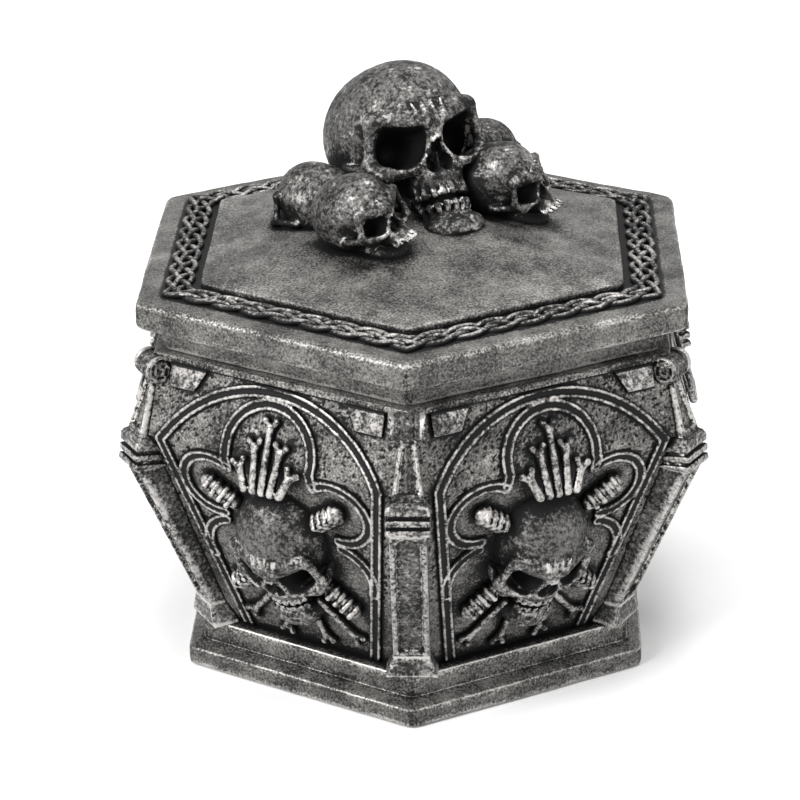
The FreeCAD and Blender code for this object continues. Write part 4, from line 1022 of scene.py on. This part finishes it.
def strand_path(first):
    """Centre line of one strand round the border, from row and column of the plait to places on the lid."""
    column = np.arange(6 * side_columns)
    wave = (column - 2 * first) % (2 * KNOT_ROWS)
    row = np.where(wave > KNOT_ROWS, 2 * KNOT_ROWS - wave, wave)
    rising = wave < KNOT_ROWS
    edge = (row == 0) | (row == KNOT_ROWS)
    over = np.where(edge, 0, np.where(rising == (column % 2 == 0), 1.0, -1.0))
    share = np.arange(KNOT_STEPS) / KNOT_STEPS
    fine = (column[:, None] + share[None]).ravel()
    ease = (0.5 - 0.5 * np.cos(np.pi * share))[None]
    height = (over[:, None] * (1 - ease) + np.roll(over, -1)[:, None] * ease).ravel()
    level = (row[:, None] * (1 - share) + np.roll(row, -1)[:, None] * share).ravel()
    level = np.convolve(np.concatenate((level[-3:], level, level[:3])), np.ones(7) / 7, "valid")
    reach = knot_inner + (knot_outer - knot_inner) * level / KNOT_ROWS
    side = np.floor(fine / side_columns)
    along = (fine / side_columns - side) * 2 - 1
    flat = np.column_stack((along * reach * HALF_SIDE, -reach, SLAB_TOP + KNOT_LIFT + height * KNOT_WEAVE))
    return turned_about(flat, 30 + 60 * side)


paths = [strand_path(k) for k in range(KNOT_ROWS)]
edges = []
for k, path in enumerate(paths):
    here = np.arange(len(path)) + k * len(path)
    edges += list(zip(here.tolist(), np.roll(here, -1).tolist()))
strand_lines = bpy.data.meshes.new("knot_lines")
strand_lines.from_pydata((np.vstack(paths) * MM).tolist(), edges, [])
strand_carrier = bpy.data.objects.new("knot_lines", strand_lines)
bpy.context.collection.objects.link(strand_carrier)
plait = bpy.data.node_groups.new("plaited_strands", "GeometryNodeTree")
plait.interface.new_socket("Lines", in_out="INPUT", socket_type="NodeSocketGeometry")
strand_width = plait.interface.new_socket("Strand width", in_out="INPUT", socket_type="NodeSocketFloat")
strand_finish = plait.interface.new_socket("Finish", in_out="INPUT", socket_type="NodeSocketMaterial")
plait.interface.new_socket("Plait", in_out="OUTPUT", socket_type="NodeSocketGeometry")
given = add(plait, "NodeGroupInput").outputs
half_strand = add(plait, "ShaderNodeMath", {0: given["Strand width"], 1: 0.5}, operation="MULTIPLY")
section = add(plait, "GeometryNodeCurvePrimitiveCircle", {"Resolution": 10, "Radius": half_strand.outputs[0]})
lines = add(plait, "GeometryNodeMeshToCurve", {"Mesh": given["Lines"]}).outputs["Curve"]
upright = add(plait, "GeometryNodeSetCurveNormal", {"Curve": lines}).outputs["Curve"]
tubes = add(plait, "GeometryNodeCurveToMesh", {"Curve": upright, "Profile Curve": section.outputs["Curve"]})
tubes = add(plait, "GeometryNodeSetShadeSmooth", {"Geometry": tubes.outputs["Mesh"]}).outputs["Geometry"]
tubes = add(plait, "GeometryNodeRealizeInstances", {"Geometry": tubes}).outputs["Geometry"]
tubes = add(plait, "GeometryNodeSetMaterial", {"Geometry": tubes, "Material": given["Finish"]})
add(plait, "NodeGroupOutput", {"Plait": tubes.outputs["Geometry"]})
weaving = strand_carrier.modifiers.new("weave", "NODES")
weaving.node_group = plait
weaving[strand_width.identifier] = KNOT_STRAND * MM
weaving[strand_finish.identifier] = pewter_relief
woven = bpy.data.meshes.new_from_object(strand_carrier.evaluated_get(bpy.context.evaluated_depsgraph_get()))
strand_carrier.modifiers.remove(weaving)
bpy.data.objects.remove(strand_carrier)
points = np.empty(len(woven.vertices) * 3)
woven.vertices.foreach_get("co", points)
points = points.reshape(-1, 3) / MM
corners = np.empty(len(woven.loops), int)
woven.loops.foreach_get("vertex_index", corners)
faces = [corners.reshape(-1, 4)]
height = (points[:, 2] - SLAB_TOP - KNOT_LIFT) / (KNOT_STRAND / 2 + KNOT_WEAVE)
facing_up = outward(points, faces)[:, 2]
# Downward faces and lower runs of the strands are darkened, partly wash and partly painted shade; upward
# faces get silver, partly dry-brush and partly painted highlight.
layers = {"wash_and_shade": np.clip(0.8 - 0.6 * facing_up - 0.3 * height, 0, 1),
          "wear_and_highlight": np.clip(0.45 * facing_up + 0.2 * height - 0.3, 0, 1)}
make_piece("knot_border_cast", points, faces, pewter_relief, "lid", ["knot_border"], layers)

# Studio: a broad sheet of white paper under the box and a white surround, with three large
# soft lamps set round it as for a shop photograph.
FLOOR_HALF = 3.0
LAMP_AIM = (0, 0, 0.06)
floor_corners = [(x * FLOOR_HALF, y * FLOOR_HALF, 0) for x, y in ((-1, -1), (1, -1), (1, 1), (-1, 1))]
floor_mesh = bpy.data.meshes.new("studio_floor")
floor_mesh.from_pydata(floor_corners, [], [(0, 1, 2, 3)])
floor = bpy.data.objects.new("studio_floor", floor_mesh)
bpy.context.collection.objects.link(floor)

# White background paper: matt and even, so that only the soft shadow shows on it.
paper, tree = new_material("white_background_paper")
surface = add(tree, "ShaderNodeBsdfPrincipled", {"Base Color": linear("#f4f4f4"), "Roughness": 0.9})
add(tree, "ShaderNodeOutputMaterial", {"Surface": surface.outputs["BSDF"]})
floor_mesh.materials.append(paper)

world = bpy.data.worlds.new("studio")
bpy.context.scene.world = world
world.use_nodes = True
tree = world.node_tree
tree.nodes.clear()
ray = add(tree, "ShaderNodeLightPath").outputs
seen = add(tree, "ShaderNodeMath", {0: ray["Is Camera Ray"], 1: ray["Is Transmission Ray"]},
           operation="MAXIMUM")
seen = add(tree, "ShaderNodeMath", {0: seen.outputs[0], 1: ray["Is Glossy Ray"]}, operation="MAXIMUM")
ambient = add(tree, "ShaderNodeBackground", {"Color": linear("#ffffff"), "Strength": 0.45}).outputs[0]
backdrop = add(tree, "ShaderNodeBackground", {"Color": linear("#ffffff"), "Strength": 1.0}).outputs[0]
sky = add(tree, "ShaderNodeMixShader", {0: seen.outputs[0], 1: ambient, 2: backdrop}).outputs[0]
add(tree, "ShaderNodeOutputWorld", {"Surface": sky})


def soft_lamp(name, place, size, power):
    """A square softbox turned to the box."""
    lamp = bpy.data.lights.new(name, "AREA")
    lamp.size = size
    lamp.energy = power
    holder = bpy.data.objects.new(name, lamp)
    holder.location = place
    holder.rotation_euler = (Vector(LAMP_AIM) - Vector(place)).to_track_quat("-Z", "Y").to_euler()
    bpy.context.collection.objects.link(holder)


soft_lamp("key_softbox", (-0.55, -0.5, 0.6), 0.45, 10)
soft_lamp("fill_softbox", (0.6, -0.45, 0.4), 0.6, 2)
soft_lamp("top_softbox", (0.1, 0.1, 0.9), 0.5, 6)

# Camera: a long lens a little above the lid and nearly square to the front corner,
# where the photograph was taken from.
FOCAL_PIXELS, FRAME_PIXELS, SENSOR = 3019.0, 800.0, 36.0
CAMERA_AWAY, CAMERA_ABOVE, CAMERA_ROUND = 0.583, math.radians(23.56), math.radians(2.0)
CAMERA_ROLL, AIM_SIDE, AIM_UP = math.radians(-0.7), -0.00315, 0.0445
level = math.cos(CAMERA_ABOVE)
back = Vector((math.sin(CAMERA_ROUND) * level, -math.cos(CAMERA_ROUND) * level, math.sin(CAMERA_ABOVE)))
right = Vector((math.cos(CAMERA_ROUND), math.sin(CAMERA_ROUND), 0))
above = back.cross(right)
lens = bpy.data.cameras.new("camera")
lens.sensor_width = SENSOR
lens.lens = FOCAL_PIXELS / FRAME_PIXELS * SENSOR
lens.clip_start = 0.01
camera = bpy.data.objects.new("camera", lens)
turn = Matrix((right, above, back)).transposed().to_4x4() @ Matrix.Rotation(CAMERA_ROLL, 4, "Z")
camera_place = Vector((0, 0, AIM_UP)) + right * AIM_SIDE + back * CAMERA_AWAY
camera.matrix_world = Matrix.Translation(camera_place) @ turn
bpy.context.collection.objects.link(camera)
bpy.context.scene.camera = camera
bpy.context.scene.view_settings.view_transform = "Standard"
